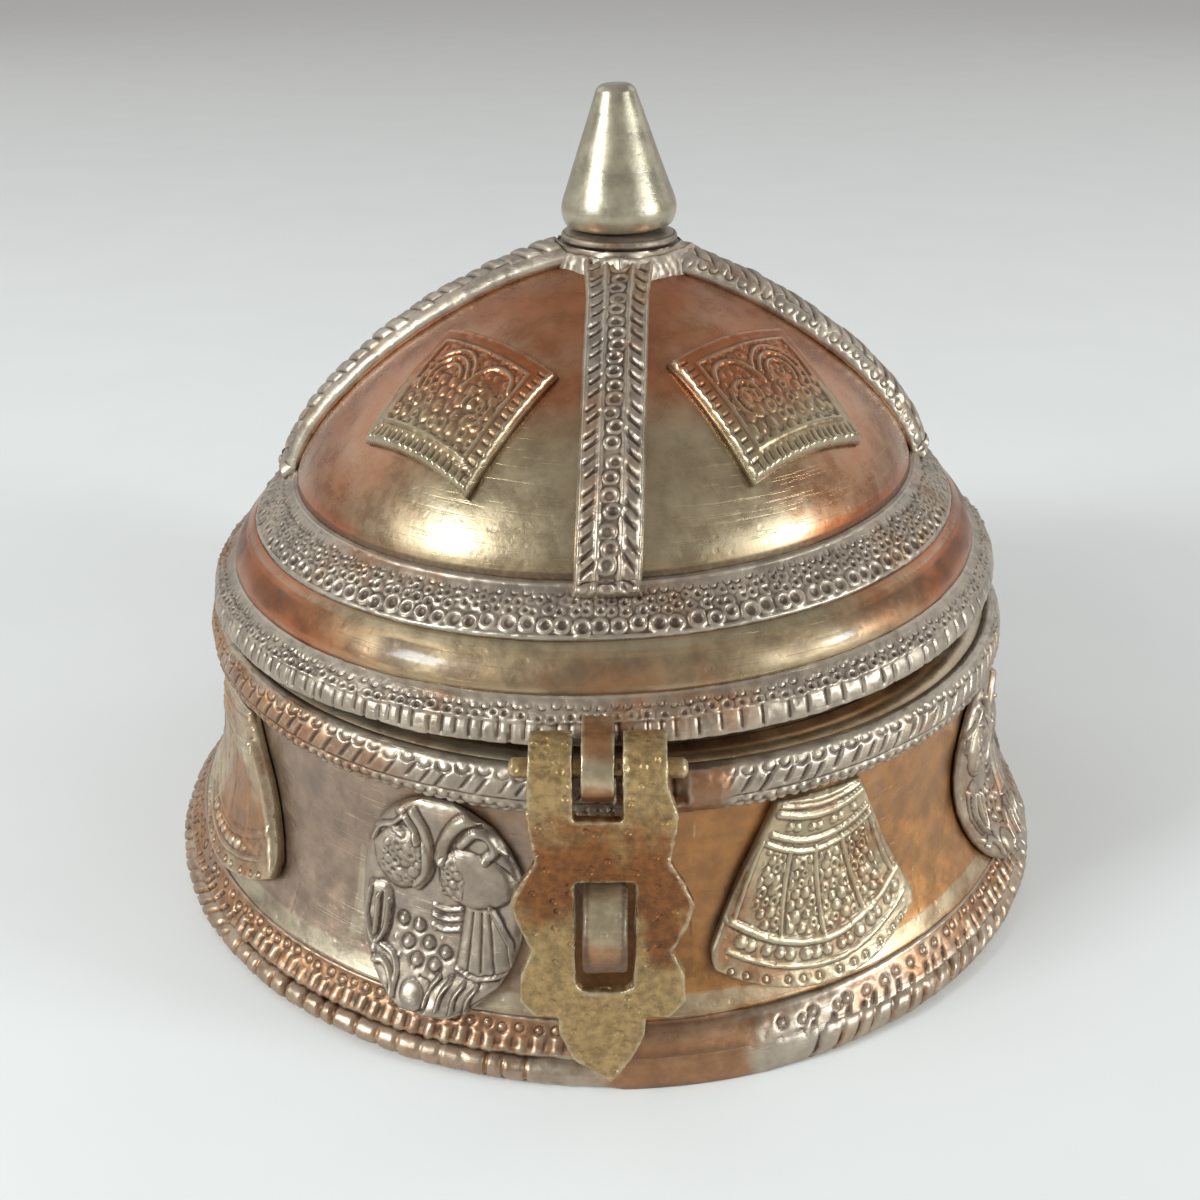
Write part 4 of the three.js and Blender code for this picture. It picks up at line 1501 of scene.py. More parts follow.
@dataclass
class Bowl:
    """The bowl: a worked foot, a waisted wall, and the collar in its mouth.

    Attributes:
        foot_steps: steps round the worked foot.
        wall_steps: steps round the wall.
        collar_steps: steps round the collar.
        flutes: the pads along the foot's edge. Gouges take their place in parts of it.
    """

    foot_steps: int = 1500
    wall_steps: int = 860
    collar_steps: int = 360
    flutes: Row = Row(Mark.PAD, 200, 0.9, 1.15, 2.3, 0.3, 6, 0.3, 3)
    flute_rings: Row = Row(Mark.RING, 190, 2.9, 1.5, 1.4, 0.32, 0, 0.4, 5)
    gouge_rings: Row = Row(Mark.RING, 150, 2.5, 1.6, 1.5, 0.3, 0, 0.5, 7)
    gouges: Row = Row(Mark.STROKE, 170, 0.6, 0.9, 1.9, 0.45, 25, 0.5, 9)

    def build(self) -> None:
        """Build the foot band, the wall and the collar."""
        self.foot_band()
        self.wall()
        self.collar()

    def foot_band(self) -> None:
        """Turn the foot's band and chase flutes, rings and gouges into it."""
        ridge, ridge_height = SHAPE.ridge_radius, SHAPE.ridge_height
        flared = ridge + SHAPE.foot_flare
        outside = [(SHAPE.foot_radius, SHAPE.foot_top), (flared, SHAPE.foot_top + 0.1)]
        outside += [(flared - 0.15, SHAPE.foot_top + 0.7), (ridge + 0.25, ridge_height - 0.4)]
        profile = even_line(outside + [(ridge - 0.2, ridge_height + 0.1)], 0.2)
        profile += [(57.6, 6.6), (57.6, 0.0), (SHAPE.foot_radius, 0.0)]
        band = turned("foot_band", profile, self.foot_steps, flared, 1)
        points, work, degrees = band.points, band.work, band.degrees
        work.up = work.up - 1.6
        left = zone(degrees, FOOT.front, -4)
        rest = 1 - zone(degrees, FOOT.front, FOOT.parted)
        quarter = np.sin(band.angle * 2) > 0
        fluted = left + rest * quarter
        gouged = zone(degrees, FOOT.end, FOOT.parted) + rest * ~quarter
        band.strike(self.flutes, fluted)
        band.strike(self.flute_rings, fluted)
        band.strike(self.gouge_rings, gouged)
        band.strike(self.gouges, gouged)
        chased = work.heights() + 0.25 * hump(work.up, 4.0, 0.22) + dented(points, 9, 0.15, 2)
        lip = (0.45 - 0.2 * left) * hump(work.up, 0, 0.6)
        outer = (radii(points) > ridge - 0.3) & (work.up > -0.4)
        face = np.clip((radii(points) - 60.3) / 0.5, 0, 1)
        face = np.where(outer, np.maximum(face, points[:, 2] > SHAPE.foot_top + 0.15), 0)
        merged = FOOT.merged(degrees)
        set_points(band.mesh, FOOT.bulged(points, face * merged))
        height = chased * (1 - 0.9 * FOOT.plain(degrees)) + lip * (1 - merged)
        worked(band.mesh, np.where(outer, height, 0))
        # The plain bulge is darker, with soiling; its crest is left lighter, a painted highlight along
        # with wear.
        soil_and_shade, warmth = FOOT.age(degrees, 0.6 - 0.8 * hump(points[:, 2], 5.9, 0.7))
        set_out(band.mesh, Stand("body", ("bowl",), "wall", Finish.RELIEF), soil_and_shade, warmth)

    def wall(self) -> None:
        """Turn the wall with its inside, and gather soiling and painted shade round the panels."""
        heights = np.linspace(SHAPE.ridge_height - 0.1, SHAPE.mouth_height, 58)
        outside = [(float(SHAPE.wall_radius(z)), float(z)) for z in heights]
        inner = np.linspace(31.0, SHAPE.ridge_height, 14)
        lining = [(float(SHAPE.wall_radius(z)) - SHAPE.bowl_wall, float(z)) for z in inner]
        inside = [(48.2, SHAPE.mouth_height), (48.2, 34.4), (50.2, 31.6), *lining]
        level = SHAPE.bowl_floor
        floor = [(54.0, 2.8), (53.2, level), (40, level), (20, level), (0, level)]
        profile = [(0, 0), (30, 0), (57.2, 0), (57.2, 6.6), *outside, *inside, *floor]
        mesh = spun("bowl_wall", profile, self.wall_steps, False)
        points = points_of(mesh)
        outer = (radii(points) > SHAPE.wall_radius(points[:, 2]) - 0.2) & (points[:, 2] > 6.8)
        dents = 0.12 * unevenness(points, 11, 4) + 0.05 * unevenness(points, 4, 6)
        worked(mesh, np.where(outer, dents + self.creases(points), 0))
        degrees = np.degrees(azimuths(points))
        # Redder at the right and greyer at the left: patina with a painted tint of warm light from the
        # right and cool light from the left.
        warmth = zone(degrees, -6, 62, 12) - zone(degrees, -64, -24, 9)
        set_out(mesh, Stand("body", ("bowl",), "wall", Finish.WALL), self.soil_and_shade(points, outer), warmth)

    def creases(self, points: Array) -> Array:
        """Raise the fine irregular lines that run up the wall between the panels.

        Args:
            points: the wall's points in millimetres.

        Returns:
            The lines' heights.
        """
        degrees = np.degrees(azimuths(points))
        one_degree = 0.94
        across, height = degrees * one_degree, points[:, 2]
        total = np.zeros(len(points))
        places = ((10.6, 0.4), (43.5, -0.5), (-32.0, 0.5), (-43.0, 0.3), (88.0, 0.4), (-84.0, 0.3))
        for middle, bend in places:
            x = middle * one_degree
            line = soft_line([(x, 31), (x + bend, 26), (x - 0.5 * bend, 19), (x + 0.3 * bend, 12), (x, 8)])
            total += 0.1 * hump(reach(across, height, line), 0, 0.22) * unevenness(points, 3, 5)
        return total

    def soil_and_shade(self, points: Array, outer: Array) -> Array:
        """Gather soiling and painted shade along the panels' edges, under the rim wire and over the foot,
        and paint a shadow behind the hasp's window.

        Args:
            points: the wall's points in millimetres.
            outer: which points are on the outside.

        Returns:
            How much soiling and painted shade each point holds.
        """
        panels = WallPanels()
        angle = np.degrees(azimuths(points))
        total = np.zeros(len(points))
        # Soiling and painted shade along each panel's edge, where the panels meet the wall.
        for place in PANELS:
            across = np.radians(np.mod(angle - place.azimuth + 180, 360) - 180) * panels.ground_radius
            near = np.abs(across) < 19
            outline = panels.outline(place.motif)
            away = reach(across[near], points[near, 2], outline + outline[:1])
            total[near] = np.maximum(total[near], 0.9 * hump(away, 0, 0.8))
        # Soiling and painted shade under the rim wire and where the wall meets the foot.
        top = hump(points[:, 2], 32.0, 0.9)
        foot = 0.8 * hump(points[:, 2], 7.2, 0.7)
        total = np.maximum(total, np.maximum(top, foot))
        total *= 0.6 + 0.4 * unevenness(points, 3, 8)
        # A painted shadow, with soiling, on the wall behind the hasp's window.
        total = np.maximum(total, zone(angle, -8, 8, 1.5) * zone(points[:, 2], 5, 28, 2))
        # A lighter strip just left of the bird panel at the front.
        total -= 0.9 * zone(angle, -33.6, -30.6, 0.7) * zone(points[:, 2], 9, 23, 2)
        return np.where(outer, total, 0.35)

    def collar(self) -> None:
        """Turn the plain collar that stands in the bowl's mouth."""
        outer, inner = SHAPE.collar_radius, SHAPE.collar_radius - 1.5
        low, high = 31.8, SHAPE.collar_top
        profile = [(inner, low), (outer, low), (outer, high - 0.4), (outer - 0.15, high - 0.1)]
        profile += [(outer - 0.4, high), (inner + 0.4, high)]
        profile += [(inner + 0.15, high - 0.1), (inner, high - 0.4)]
        mesh = spun("mouth_collar", profile, self.collar_steps, True)
        points = points_of(mesh)
        worked(mesh, 0.08 * unevenness(points, 8, 3))
        # Darker where the collar meets the bowl's mouth: soiling and painted shade.
        soil_and_shade = 0.5 * hump(points[:, 2], 37.6, 0.9)
        set_out(mesh, Stand("body", ("bowl_collar",), "collar", Finish.COLLAR), soil_and_shade)


@dataclass
class Wires:
    """The beaded wire round the foot and the chased wire under the lid.

    Attributes:
        steps: steps round each wire.
        foot_height: how high the foot wire's middle is, in millimetres.
        foot_radius: the foot wire's own radius.
        drawn_up: how far its top is drawn up into the plain bulge.
        bead_cuts: the cuts between the foot wire's beads.
        rope: the slanted cuts where it looks like rope.
        notches: the slanted cuts right of the plain stretch.
        rim_radius: the radius on which the rim wire's rows of marks are laid out.
    """

    steps: int = 1500
    foot_height: float = 1.6
    foot_radius: float = 1.5
    drawn_up: float = 1.9
    bead_cuts: Row = Row(Mark.STROKE, 138, 2.3, 0.8, 7.0, 0.55, 0, 0.5, 11)
    rope: Row = Row(Mark.STROKE, 150, 2.3, 0.9, 8.0, 0.5, 38, 0.3, 13)
    notches: Row = Row(Mark.STROKE, 150, 2.6, 0.9, 4.0, 0.55, 28, 0.5, 15)
    rim_radius: float = 54.5
    rim_beads: tuple[Row, Row] = (
        Row(Mark.BEAD, 250, 1.0, 1.15, 1.05, 0.34, 0, 0.3, 21),
        Row(Mark.BEAD, 240, 2.1, 1.15, 1.05, 0.34, 0, 0.35, 23),
    )
    rim_strokes: Row = Row(Mark.STROKE, 150, 4.2, 0.75, 2.3, 0.42, 32, 0.35, 25)
    scallops: Row = Row(Mark.CRESCENT, 150, 5.9, 1.9, 1.6, 0.4, 0, 0.3, 27)

    def build(self) -> None:
        """Build both wires."""
        self.foot_wire()
        self.rim_wire()

    def foot_wire(self) -> None:
        """Turn the foot wire, cut its beads and rope, and draw its plain stretch out to the bulge."""
        turns = np.radians(np.arange(-90, 270, 18))
        centre, middle, thick = SHAPE.foot_wire_centre, self.foot_height, self.foot_radius
        profile = [(centre + thick * math.cos(a), middle + thick * math.sin(a)) for a in turns]
        wire = turned("foot_bead", profile, self.steps, centre, 2)
        points, work, degrees = wire.points.copy(), wire.work, wire.degrees
        rest = 1 - zone(degrees, FOOT.front, 60)
        quarter = np.sin(wire.angle * 2) > 0
        wire.strike(self.bead_cuts, zone(degrees, FOOT.front, -6) + rest * quarter)
        wire.strike(self.rope, rest * ~quarter)
        wire.strike(self.notches, zone(degrees, 22, 60))
        merged = FOOT.merged(degrees)
        seam = 0.5 * hump(work.up, 6.1, 1.5) * (1 - zone(degrees, -50, -6))
        height = (work.heights() + dented(points, 5, 0.12, 5)) * (1 - 0.9 * FOOT.plain(degrees))
        height = np.where(radii(points) > centre - 1.46, height + seam * (1 - merged), 0)
        above = np.clip((points[:, 2] - middle) / thick, 0, 1)
        face = merged * np.clip((radii(points) - centre) / 0.4, 0, 1)
        points[:, 2] += self.drawn_up * merged * above
        points = FOOT.bulged(points, face)
        points[:, :2] *= 1 + (face * (0.12 - 0.9 * above**10) / centre)[:, None]
        set_points(wire.mesh, points)
        worked(wire.mesh, height)
        # The plain bulge darkens towards its foot: painted shade under it, with soiling.
        soil_and_shade, warmth = FOOT.age(degrees, 0.6 + 0.7 * hump(points[:, 2], 0, 1.9))
        set_out(wire.mesh, Stand("body", ("foot_wire",), "relief", Finish.RELIEF), soil_and_shade, warmth)

    def rim_wire(self) -> None:
        """Turn the rim wire and chase beads, strokes and scallops into it."""
        section = [(53.0, 32.25), (53.9, 32.3), (54.5, 33.3), (54.75, 34.6), (54.5, 36.0), (53.8, 37.2)]
        outside = even_line(soft_line(section + [(52.9, 37.65)], 5), 0.22)
        profile = outside + [(52.3, 37.5), (52.3, 32.4)]
        wire = turned("rim_roll", profile, self.steps, self.rim_radius, 3)
        work, degrees = wire.work, wire.degrees
        bare = zone(degrees, 1, 15.5, 2)
        cut = 1 - bare
        wire.strike(self.rim_beads[0], 1 - 0.7 * bare)
        wire.strike(self.rim_beads[1], cut)
        wire.strike(self.rim_strokes, cut)
        wire.strike(self.scallops, cut)
        line = 0.18 * hump(work.up, 2.85, 0.18) * cut
        height = work.heights() - line + dented(wire.points, 6, 0.1, 7)
        height += 0.35 * bare * (1 - ((work.up - 3.6) / 3.2) ** 2)
        ended = 1.2 * (1 - np.clip((np.abs(degrees - 1) - 7.2) / 1.4, 0, 1) ** 0.5)
        height -= ended * np.clip((work.up - 2.6) / 0.8, 0, 1) * (degrees > 1)
        worked(wire.mesh, np.where(radii(wire.points) > 52.6, height, 0))
        # Redder and darker towards the left, and redder where it is bare.
        left_stretch = zone(degrees, -110, -20, 20)
        warmth = 1.2 * left_stretch + bare - 0.4
        set_out(wire.mesh, Stand("body", ("rim_wire",), "relief", Finish.RELIEF), 0.2 * left_stretch, warmth)


@dataclass
class Lid:
    """The lid's shell with its chased rim, smooth shoulder and punched band.

    Attributes:
        rim_steps: steps round the rim.
        band_steps: steps round the band.
        shell_steps: steps round the shell.
        rim_radius: the radius on which the rim's rows of marks are laid out.
        loops: the close strokes along its left side.
        ladder: the wider strokes along its right side.
        band_radius: the radius on which the band's rows are laid out.
    """

    rim_steps: int = 1450
    band_steps: int = 1400
    shell_steps: int = 640
    rim_radius: float = 52.8
    loops: Row = Row(Mark.STROKE, 205, 1.7, 0.55, 2.6, 0.45, 0, 0.35, 31)
    ladder: Row = Row(Mark.STROKE, 128, 1.7, 0.6, 2.6, 0.45, 0, 0.3, 32)
    rim_rows: tuple[Row, ...] = (
        Row(Mark.CUP, 190, 3.55, 1.45, 1.3, 0.34, 0, 0.45, 33),
        Row(Mark.CRESCENT, 205, 4.75, 1.3, 1.2, 0.36, 0, 0.4, 35),
    )
    band_radius: float = 44.6
    band_rows: tuple[Row, ...] = (
        Row(Mark.CUP, 138, 1.55, 2.1, 2.1, 0.4, 0, 0.3, 41),
        Row(Mark.CUP, 195, 3.25, 1.4, 1.4, 0.32, 0, 0.5, 43),
        Row(Mark.CUP, 205, 4.45, 1.25, 1.3, 0.3, 0, 0.5, 45),
        Row(Mark.CRESCENT, 190, 5.6, 1.3, 1.3, 0.34, 0, 0.4, 47),
    )

    def build(self) -> None:
        """Build the rim, the band and the shell."""
        self.rim()
        self.band()
        self.shell()

    def rim(self) -> None:
        """Turn the lid's rim and chase a ladder under rows of rings."""
        low = SHAPE.lid_edge
        section = [(53.0, low), (53.45, low + 0.5), (53.25, low + 1.6), (52.6, low + 2.6)]
        outside = even_line(soft_line(section + [(51.4, low + 3.7), (50.2, low + 4.5)], 5), 0.2)
        profile = outside + [(49.7, low + 4.3), (49.7, low + 0.05), (52.5, low)]
        rim = turned("lid_rim", profile, self.rim_steps, self.rim_radius, 4)
        right = zone(rim.degrees, 8, 180, 3)
        rim.strike(self.loops, 1 - right)
        rim.strike(self.ladder, right)
        for row in self.rim_rows:
            rim.strike(row)
        rim.rule((0.35, 3.0), 0.22, 0.2)
        height = rim.work.heights() + dented(rim.points, 7, 0.16, 9)
        upper_edge = along_profile(np.array([[0, -50.2, low + 4.5]]), profile)[0]
        worked(rim.mesh, np.where(rim.work.up < upper_edge + 0.05, height, 0))
        set_points(rim.mesh, SHAPE.askew(points_of(rim.mesh)))
        # Greyer towards the right: a painted cool reflection of a window. Slightly darker towards the
        # left.
        warmth = -0.3 - 0.7 * zone(rim.degrees, 20, 110, 15)
        soil_and_shade = 0.15 * zone(rim.degrees, -110, -20, 15)
        set_out(rim.mesh, Stand("lid", ("lid_shell",), "dome", Finish.RELIEF), soil_and_shade, warmth)

    def band(self) -> None:
        """Turn the band at the dome's foot and punch its rows of rings."""
        foot = (SHAPE.band_foot_radius, SHAPE.band_foot)
        top = (SHAPE.dome_radius, SHAPE.dome_foot)
        profile = even_line([foot, top], 0.19) + [(40.6, 54.3), (46.2, 49.9)]
        band = turned("lid_band", profile, self.band_steps, self.band_radius, 5)
        for row in self.band_rows:
            band.strike(row)
        band.rule((0.3, 6.7), 0.25, 0.22)
        place = band.work.up
        swell = 0.35 * np.clip(1 - ((place - 3.6) / 3.8) ** 2, 0, 1)
        height = band.work.heights() + swell + dented(band.points, 6, 0.12, 11)
        worked(band.mesh, np.where(place <= 7.3, height, 0))
        set_points(band.mesh, SHAPE.askew(points_of(band.mesh)))
        set_out(band.mesh, Stand("lid", ("lid_shell",), "dome", Finish.RELIEF), 0.0, -0.4)

    def shell(self) -> None:
        """Turn the smooth shoulder and dome with the lid's inside."""
        drop = np.linspace(0, 1, 14)
        shoulder = line_of(SHAPE.groove_radius - 3.3 * drop**1.8, SHAPE.groove_height + 5 * drop)
        dome = line_of(*SHAPE.dome_skin(np.linspace(0, 1, 52))[:2])
        lining = line_of(*SHAPE.dome_skin(np.linspace(1, 0, 24), SHAPE.lid_wall)[:2])
        low = SHAPE.lid_edge + 0.08
        seat = [(44.2, SHAPE.band_foot), (47.4, 44.9), (SHAPE.lid_bore, 44.9), (SHAPE.lid_bore, low)]
        under = [(51.4, low), (50.6, 43.6), (49.6, 45.1)]
        recessed = [(46.4, 50.15), (41.0, 54.4)]
        profile = lining + seat + under + shoulder + recessed + dome
        mesh = spun("lid_dome", profile, self.shell_steps, False)
        points = points_of(mesh)
        radius = radii(points)
        inner = (points[:, 2] < SHAPE.dome_foot - 0.2) & (radius < 46.3)
        skin = SHAPE.dome_skin(SHAPE.dome_share(radius))[1]
        inner |= (radius < SHAPE.dome_radius) & (points[:, 2] < skin - 0.8)
        dents = 0.11 * unevenness(points, 12, 12) + 0.04 * unevenness(points, 5, 14)
        worked(mesh, np.where(inner, 0, dents))
        set_points(mesh, SHAPE.askew(points_of(mesh)))
        height = points[:, 2]
        # Soiling and painted shade in the groove, in the corner at the dome's foot and where the band
        # meets the shoulder; the whole shoulder is darker too.
        soil_and_shade = 0.9 * hump(height, 45.3, 0.6)
        soil_and_shade = np.maximum(soil_and_shade, 0.8 * hump(np.hypot(radius - 41.2, height - 54.9), 0, 0.9))
        soil_and_shade = np.maximum(soil_and_shade, 0.8 * hump(height, 50.0, 0.5))
        soil_and_shade = np.maximum(soil_and_shade, 1.6 * zone(height, 45.6, 49.4, 0.6))
        soil_and_shade = np.where(inner, 0.35, soil_and_shade * (0.75 + 0.25 * unevenness(points, 3, 15)))
        # Redder on the sides and the top, and olive in front: patina with a painted reflection of a red
        # cloth.
        side = np.clip((np.abs(np.degrees(azimuths(points))) - 14) / 42, 0, 1)
        peak = np.clip((height - 63) / 9, 0, 1)
        warmth = 1.7 * np.maximum(side, peak) - 0.7
        warmth = np.where(height < 51, np.maximum(warmth, -0.1), warmth)
        set_out(mesh, Stand("lid", ("lid_shell",), "dome", Finish.DOME), soil_and_shade, warmth)


@dataclass
class Ribs:
    """The four ribs that run up the dome to the crown.

    Attributes:
        width: a rib's width in millimetres.
        thickness: its thickness.
        foot: how far it stands out over the band.
        foot_x: where the front rib's foot stands.
        bend: how the front rib bends towards the crown.
    """

    width: float = 7.4
    thickness: float = 1.5
    foot: float = 1.9
    foot_x: float = 0.1
    bend: float = 1.3

    def build(self) -> None:
        """Build the ribs from the front round to the left."""
        for number, name in enumerate(("front", "right", "back", "left")):
            self.rib(name, number)

    def spine(self) -> tuple[Array, Array]:
        """Work out the line under the ribs.

        Returns:
            Rows of share, radius, height and the slope's two parts, and the length up to each row.
        """
        top = float(SHAPE.dome_share(0.55 * SHAPE.crown_radius))
        shares = np.linspace(0, top, 80)
        radius, height, out, up = SHAPE.dome_skin(shares)
        slope = np.hypot(4.5, 5.7)
        foot = np.array([SHAPE.dome_radius + self.foot, SHAPE.dome_foot - self.foot * 4.5 / 5.7])
        lower = np.linspace(0, 1, 6)[:-1, None]
        ground = np.array([SHAPE.dome_radius, SHAPE.dome_foot])
        track = np.vstack([foot + (ground - foot) * lower, np.stack([radius, height], axis=1)])
        ways = np.vstack([np.tile([4.5 / slope, 5.7 / slope], (5, 1)), np.stack([out, up], axis=1)])
        for _ in range(4):
            ways[1:-1] = (ways[:-2] + 2 * ways[1:-1] + ways[2:]) / 4
        ways /= np.linalg.norm(ways, axis=1)[:, None]
        steps = np.hypot(*np.diff(track, axis=0).T)
        length = np.concatenate([[0], np.cumsum(steps)])
        first = 1 / 13
        share = np.concatenate([first * lower[:, 0], first + (1 - first) * shares / top])
        return np.column_stack([share, track, ways]), length

    def rib(self, name: str, number: int) -> None:
        """Build one rib.

        Args:
            name: where it runs.
            number: quarter turns from the front.
        """
        rows, length = self.spine()
        mesh = sheet(f"rib_{name}", 4, 26, 11)
        flat = points_of(mesh)
        along = (flat[:, 1] + 1) / 2 * length[-1]
        share, radius, height, out, up = (np.interp(along, length, column) for column in rows.T)
        across = flat[:, 0] * self.width / 2
        if number == 0:
            relief = self.front_work(along, across, length[-1])
        else:
            relief = self.side_work(along, across, length[-1], number)
        soft = 1.0 if number == 0 else 2.0
        edge = np.clip(1 - (self.width / 2 - np.abs(across)) / soft, 0, 1)
        end = np.clip(1 - along / 0.8, 0, 1)
        drop = 0.6 * soft * (1 - domed(np.maximum(edge, end)))
        relief += dented(np.column_stack([along, across, flat[:, 2]]), 4, 0.1, number)
        across *= 1 + 0.2 * np.clip((share - 0.84) / 0.16, 0, 1)
        lift = SHAPE.solder_gap - 0.25 + (self.thickness + 0.25) * flat[:, 2]
        lift += np.where(flat[:, 2] > 0.5, relief - drop, 0)
        turn = number * math.pi / 2
        bent = self.foot_x + (SHAPE.crown_x - self.foot_x) * share**self.bend + SHAPE.lid_aside
        side = across + bent * math.cos(turn)
        angle = turn + np.arcsin(np.clip(side / radius, -1, 1))
        points = placed(radius + out * lift, angle, height + up * lift)
        set_points(mesh, SHAPE.askew(points))
        set_out(mesh, Stand("lid", (f"lid_rib_{name}",), "relief", Finish.RELIEF), 0.0, -0.4)

    def front_work(self, along: Array, across: Array, length: float) -> Array:
        """Chase three lanes: slanted strokes, rings and leaf strokes.

        Args:
            along: places from the rib's foot to its top.
            across: places from left to right.
            length: the rib's whole length.

        Returns:
            The relief's height at each point.
        """
        work = Relief(along, across)
        for level in (-3.25, -1.3, 1.3, 3.25):
            work.raised += 0.42 * hump(across, level, 0.26)
        work.stamp(Row(Mark.STROKE, 28, -2.3, 0.8, 1.7, 0.5, 38, 0.35, 51), length)
        work.stamp(Row(Mark.CUP, 25, 0.0, 1.9, 2.1, 0.4, 0, 0.35, 53), length)
        work.stamp(Row(Mark.STROKE, 24, 2.3, 1.1, 1.8, 0.5, -46, 0.3, 55), length)
        return work.heights()

    def side_work(self, along: Array, across: Array, length: float, seed: float) -> Array:
        """Chase a crest of slanted pads between two plain borders.

        Args:
            along: places from the rib's foot to its top.
            across: places from left to right.
            length: the rib's whole length.
            seed: makes each rib's hand work its own.

        Returns:
            The relief's height at each point.
        """
        work = Relief(along, across)
        work.ground = 0.5 * np.clip(1 - (across / 3.4) ** 2, 0, 1)
        work.stamp(Row(Mark.PAD, 23, 0.0, 1.9, 4.6, 0.6, 30, 0.25, 57 + seed), length)
        work.stamp(Row(Mark.CRESCENT, 27, -2.9, 1.5, 1.3, 0.4, 0, 0.3, 59 + seed), length)
        return work.heights()


@dataclass(frozen=True)
class PlatePlace:
    """Where a dome plate sits.

    Attributes:
        number: its number round the dome.
        azimuth: which way it faces, in degrees.
        side: how far it sits aside of that line, as a share of the dome's radius.
        near: how far it is from the middle, as the same share.
    """

    number: int
    azimuth: float
    side: float
    near: float


@dataclass
class DomePlates:
    """The four embossed plates on the dome.

    Attributes:
        width: a plate's width in millimetres.
        length: its length down the dome.
        thickness: its thickness.
        places: where the four plates sit.
    """

    width: float = 18.8
    length: float = 14.3
    thickness: float = 1.2
    places: tuple[PlatePlace, ...] = (
        PlatePlace(1, -45, 0.097, 0.495),
        PlatePlace(2, 42, 0.0, 0.524),
        PlatePlace(3, 135, 0.0, 0.51),
        PlatePlace(4, -135, 0.0, 0.51),
    )

    def build(self) -> None:
        """Build the four plates."""
        for place in self.places:
            self.plate(place)

    def plate(self, place: PlatePlace) -> None:
        """Build one plate.

        Args:
            place: where it sits.
        """
        mesh = sheet(f"plate_{place.number}", 9, 7, 13)
        flat = points_of(mesh)
        x = flat[:, 0] * self.width / 2
        y = flat[:, 1] * self.length / 2
        relief = self.plate_work(x, y, place.number)
        side = np.minimum(self.width / 2 - np.abs(x), self.length / 2 - np.abs(y))
        edge = np.clip(1 - side / 0.9, 0, 1)
        drop = 0.8 * (1 - domed(edge))
        flip = 1 if place.number % 2 else -1
        sunk = np.clip(1 - np.minimum(self.length / 2 - y, self.width / 2 + flip * x) / 3.0, 0, 1)
        relief += dented(np.column_stack([x, y, flat[:, 2]]), 4, 0.1, place.number)
        lift = SHAPE.solder_gap - 0.2 + (self.thickness + 0.2) * flat[:, 2]
        lift += np.where(flat[:, 2] > 0.5, 0.85 * relief - drop - 0.45 * sunk**2, 0)
        aside = place.side * SHAPE.dome_radius + x
        outwards = place.near * SHAPE.dome_radius + self.length / 2 - y
        radius, height, out, up = SHAPE.dome_skin(SHAPE.dome_share(np.hypot(aside, outwards)))
        turn = math.radians(place.azimuth) + np.arctan2(aside, outwards)
        points = placed(radius + out * lift, turn, height + up * lift)
        set_points(mesh, SHAPE.askew(points))
        stand = Stand("lid", (f"lid_plate_{place.number}",), "relief", Finish.DOME)
        # Redder towards the top, as on the dome, whose redder colour is partly a painted reflection of a
        # red cloth.
        set_out(mesh, stand, 0.1, 1.5 * y / self.length + 0.4)

    def plate_work(self, x: Array, y: Array, number: int) -> Array:
        """Chase borders, scrolls and bead clusters on a plate.

        Args:
            x: places from left to right, seen from outside.
            y: places from the foot to the top.
            number: the plate's number, which makes its hand work its own.

        Returns:
            The relief's height at each point.
        """
        work = Relief(x, y)
        half_x, half_y = self.width / 2, self.length / 2
        right, top = half_x - 0.5, half_y - 0.5
        border = [(-right, -top), (right, -top), (right, top), (-right, top), (-right, -top)]
        work.ridge(border, 0.5, 0.3)
        work.ridge([(px * 0.79, py * 0.74) for px, py in border], 0.5, 0.35)
        lower = (y < -0.76 * half_y) & (np.abs(x) < 0.9 * half_x)
        work.stamp(Row(Mark.STROKE, 19, -0.86 * half_y, 0.45, 1.4, 0.35, 0, 0.25, 61), self.width, lower)
        side = Relief(y, x)
        edge = half_x if number % 2 else -half_x
        beside = (x * edge > 0) & (np.abs(x) > 0.8 * half_x) & (np.abs(y) < 0.9 * half_y)
        side.stamp(Row(Mark.STROKE, 15, 0.88 * edge, 0.45, 1.5, 0.35, 0, 0.25, 63), self.length, beside)
        flip = 1 if number % 2 else -1
        scrolls = (((3.6, 2.7, 1.8), (-2.4, 0.6), (0.4, 3.6)), ((1.9, 1.0), (4.2, -0.6), (-1.2, 3.4)))
        for sizes, (x_middle, y_middle), ends in scrolls:
            for size in sizes:
                turns = np.linspace(*ends, 14)
                arc = [(x_middle + size * math.cos(a), y_middle + size * math.sin(a)) for a in turns]
                work.ridge([(flip * px, py) for px, py in arc], 0.5, 0.4)
        curl = [(flip * px, py) for px, py in ((0.6, 0.4), (1.6, 2.6), (3.4, 3.8), (5.6, 3.6), (6.6, 2.2))]
        work.ridge(soft_line(curl), 0.6, 0.45)
        core = (np.abs(x) < 0.74 * half_x) & (np.abs(y) < 0.68 * half_y)
        work.studs(1.6, 1.3, 0.36, core & (y < 0.15 * half_y), number)
        work.studs(1.25, 0.8, 0.22, core & (y >= 0.15 * half_y), number + 5)
        return work.heights() + side.heights()


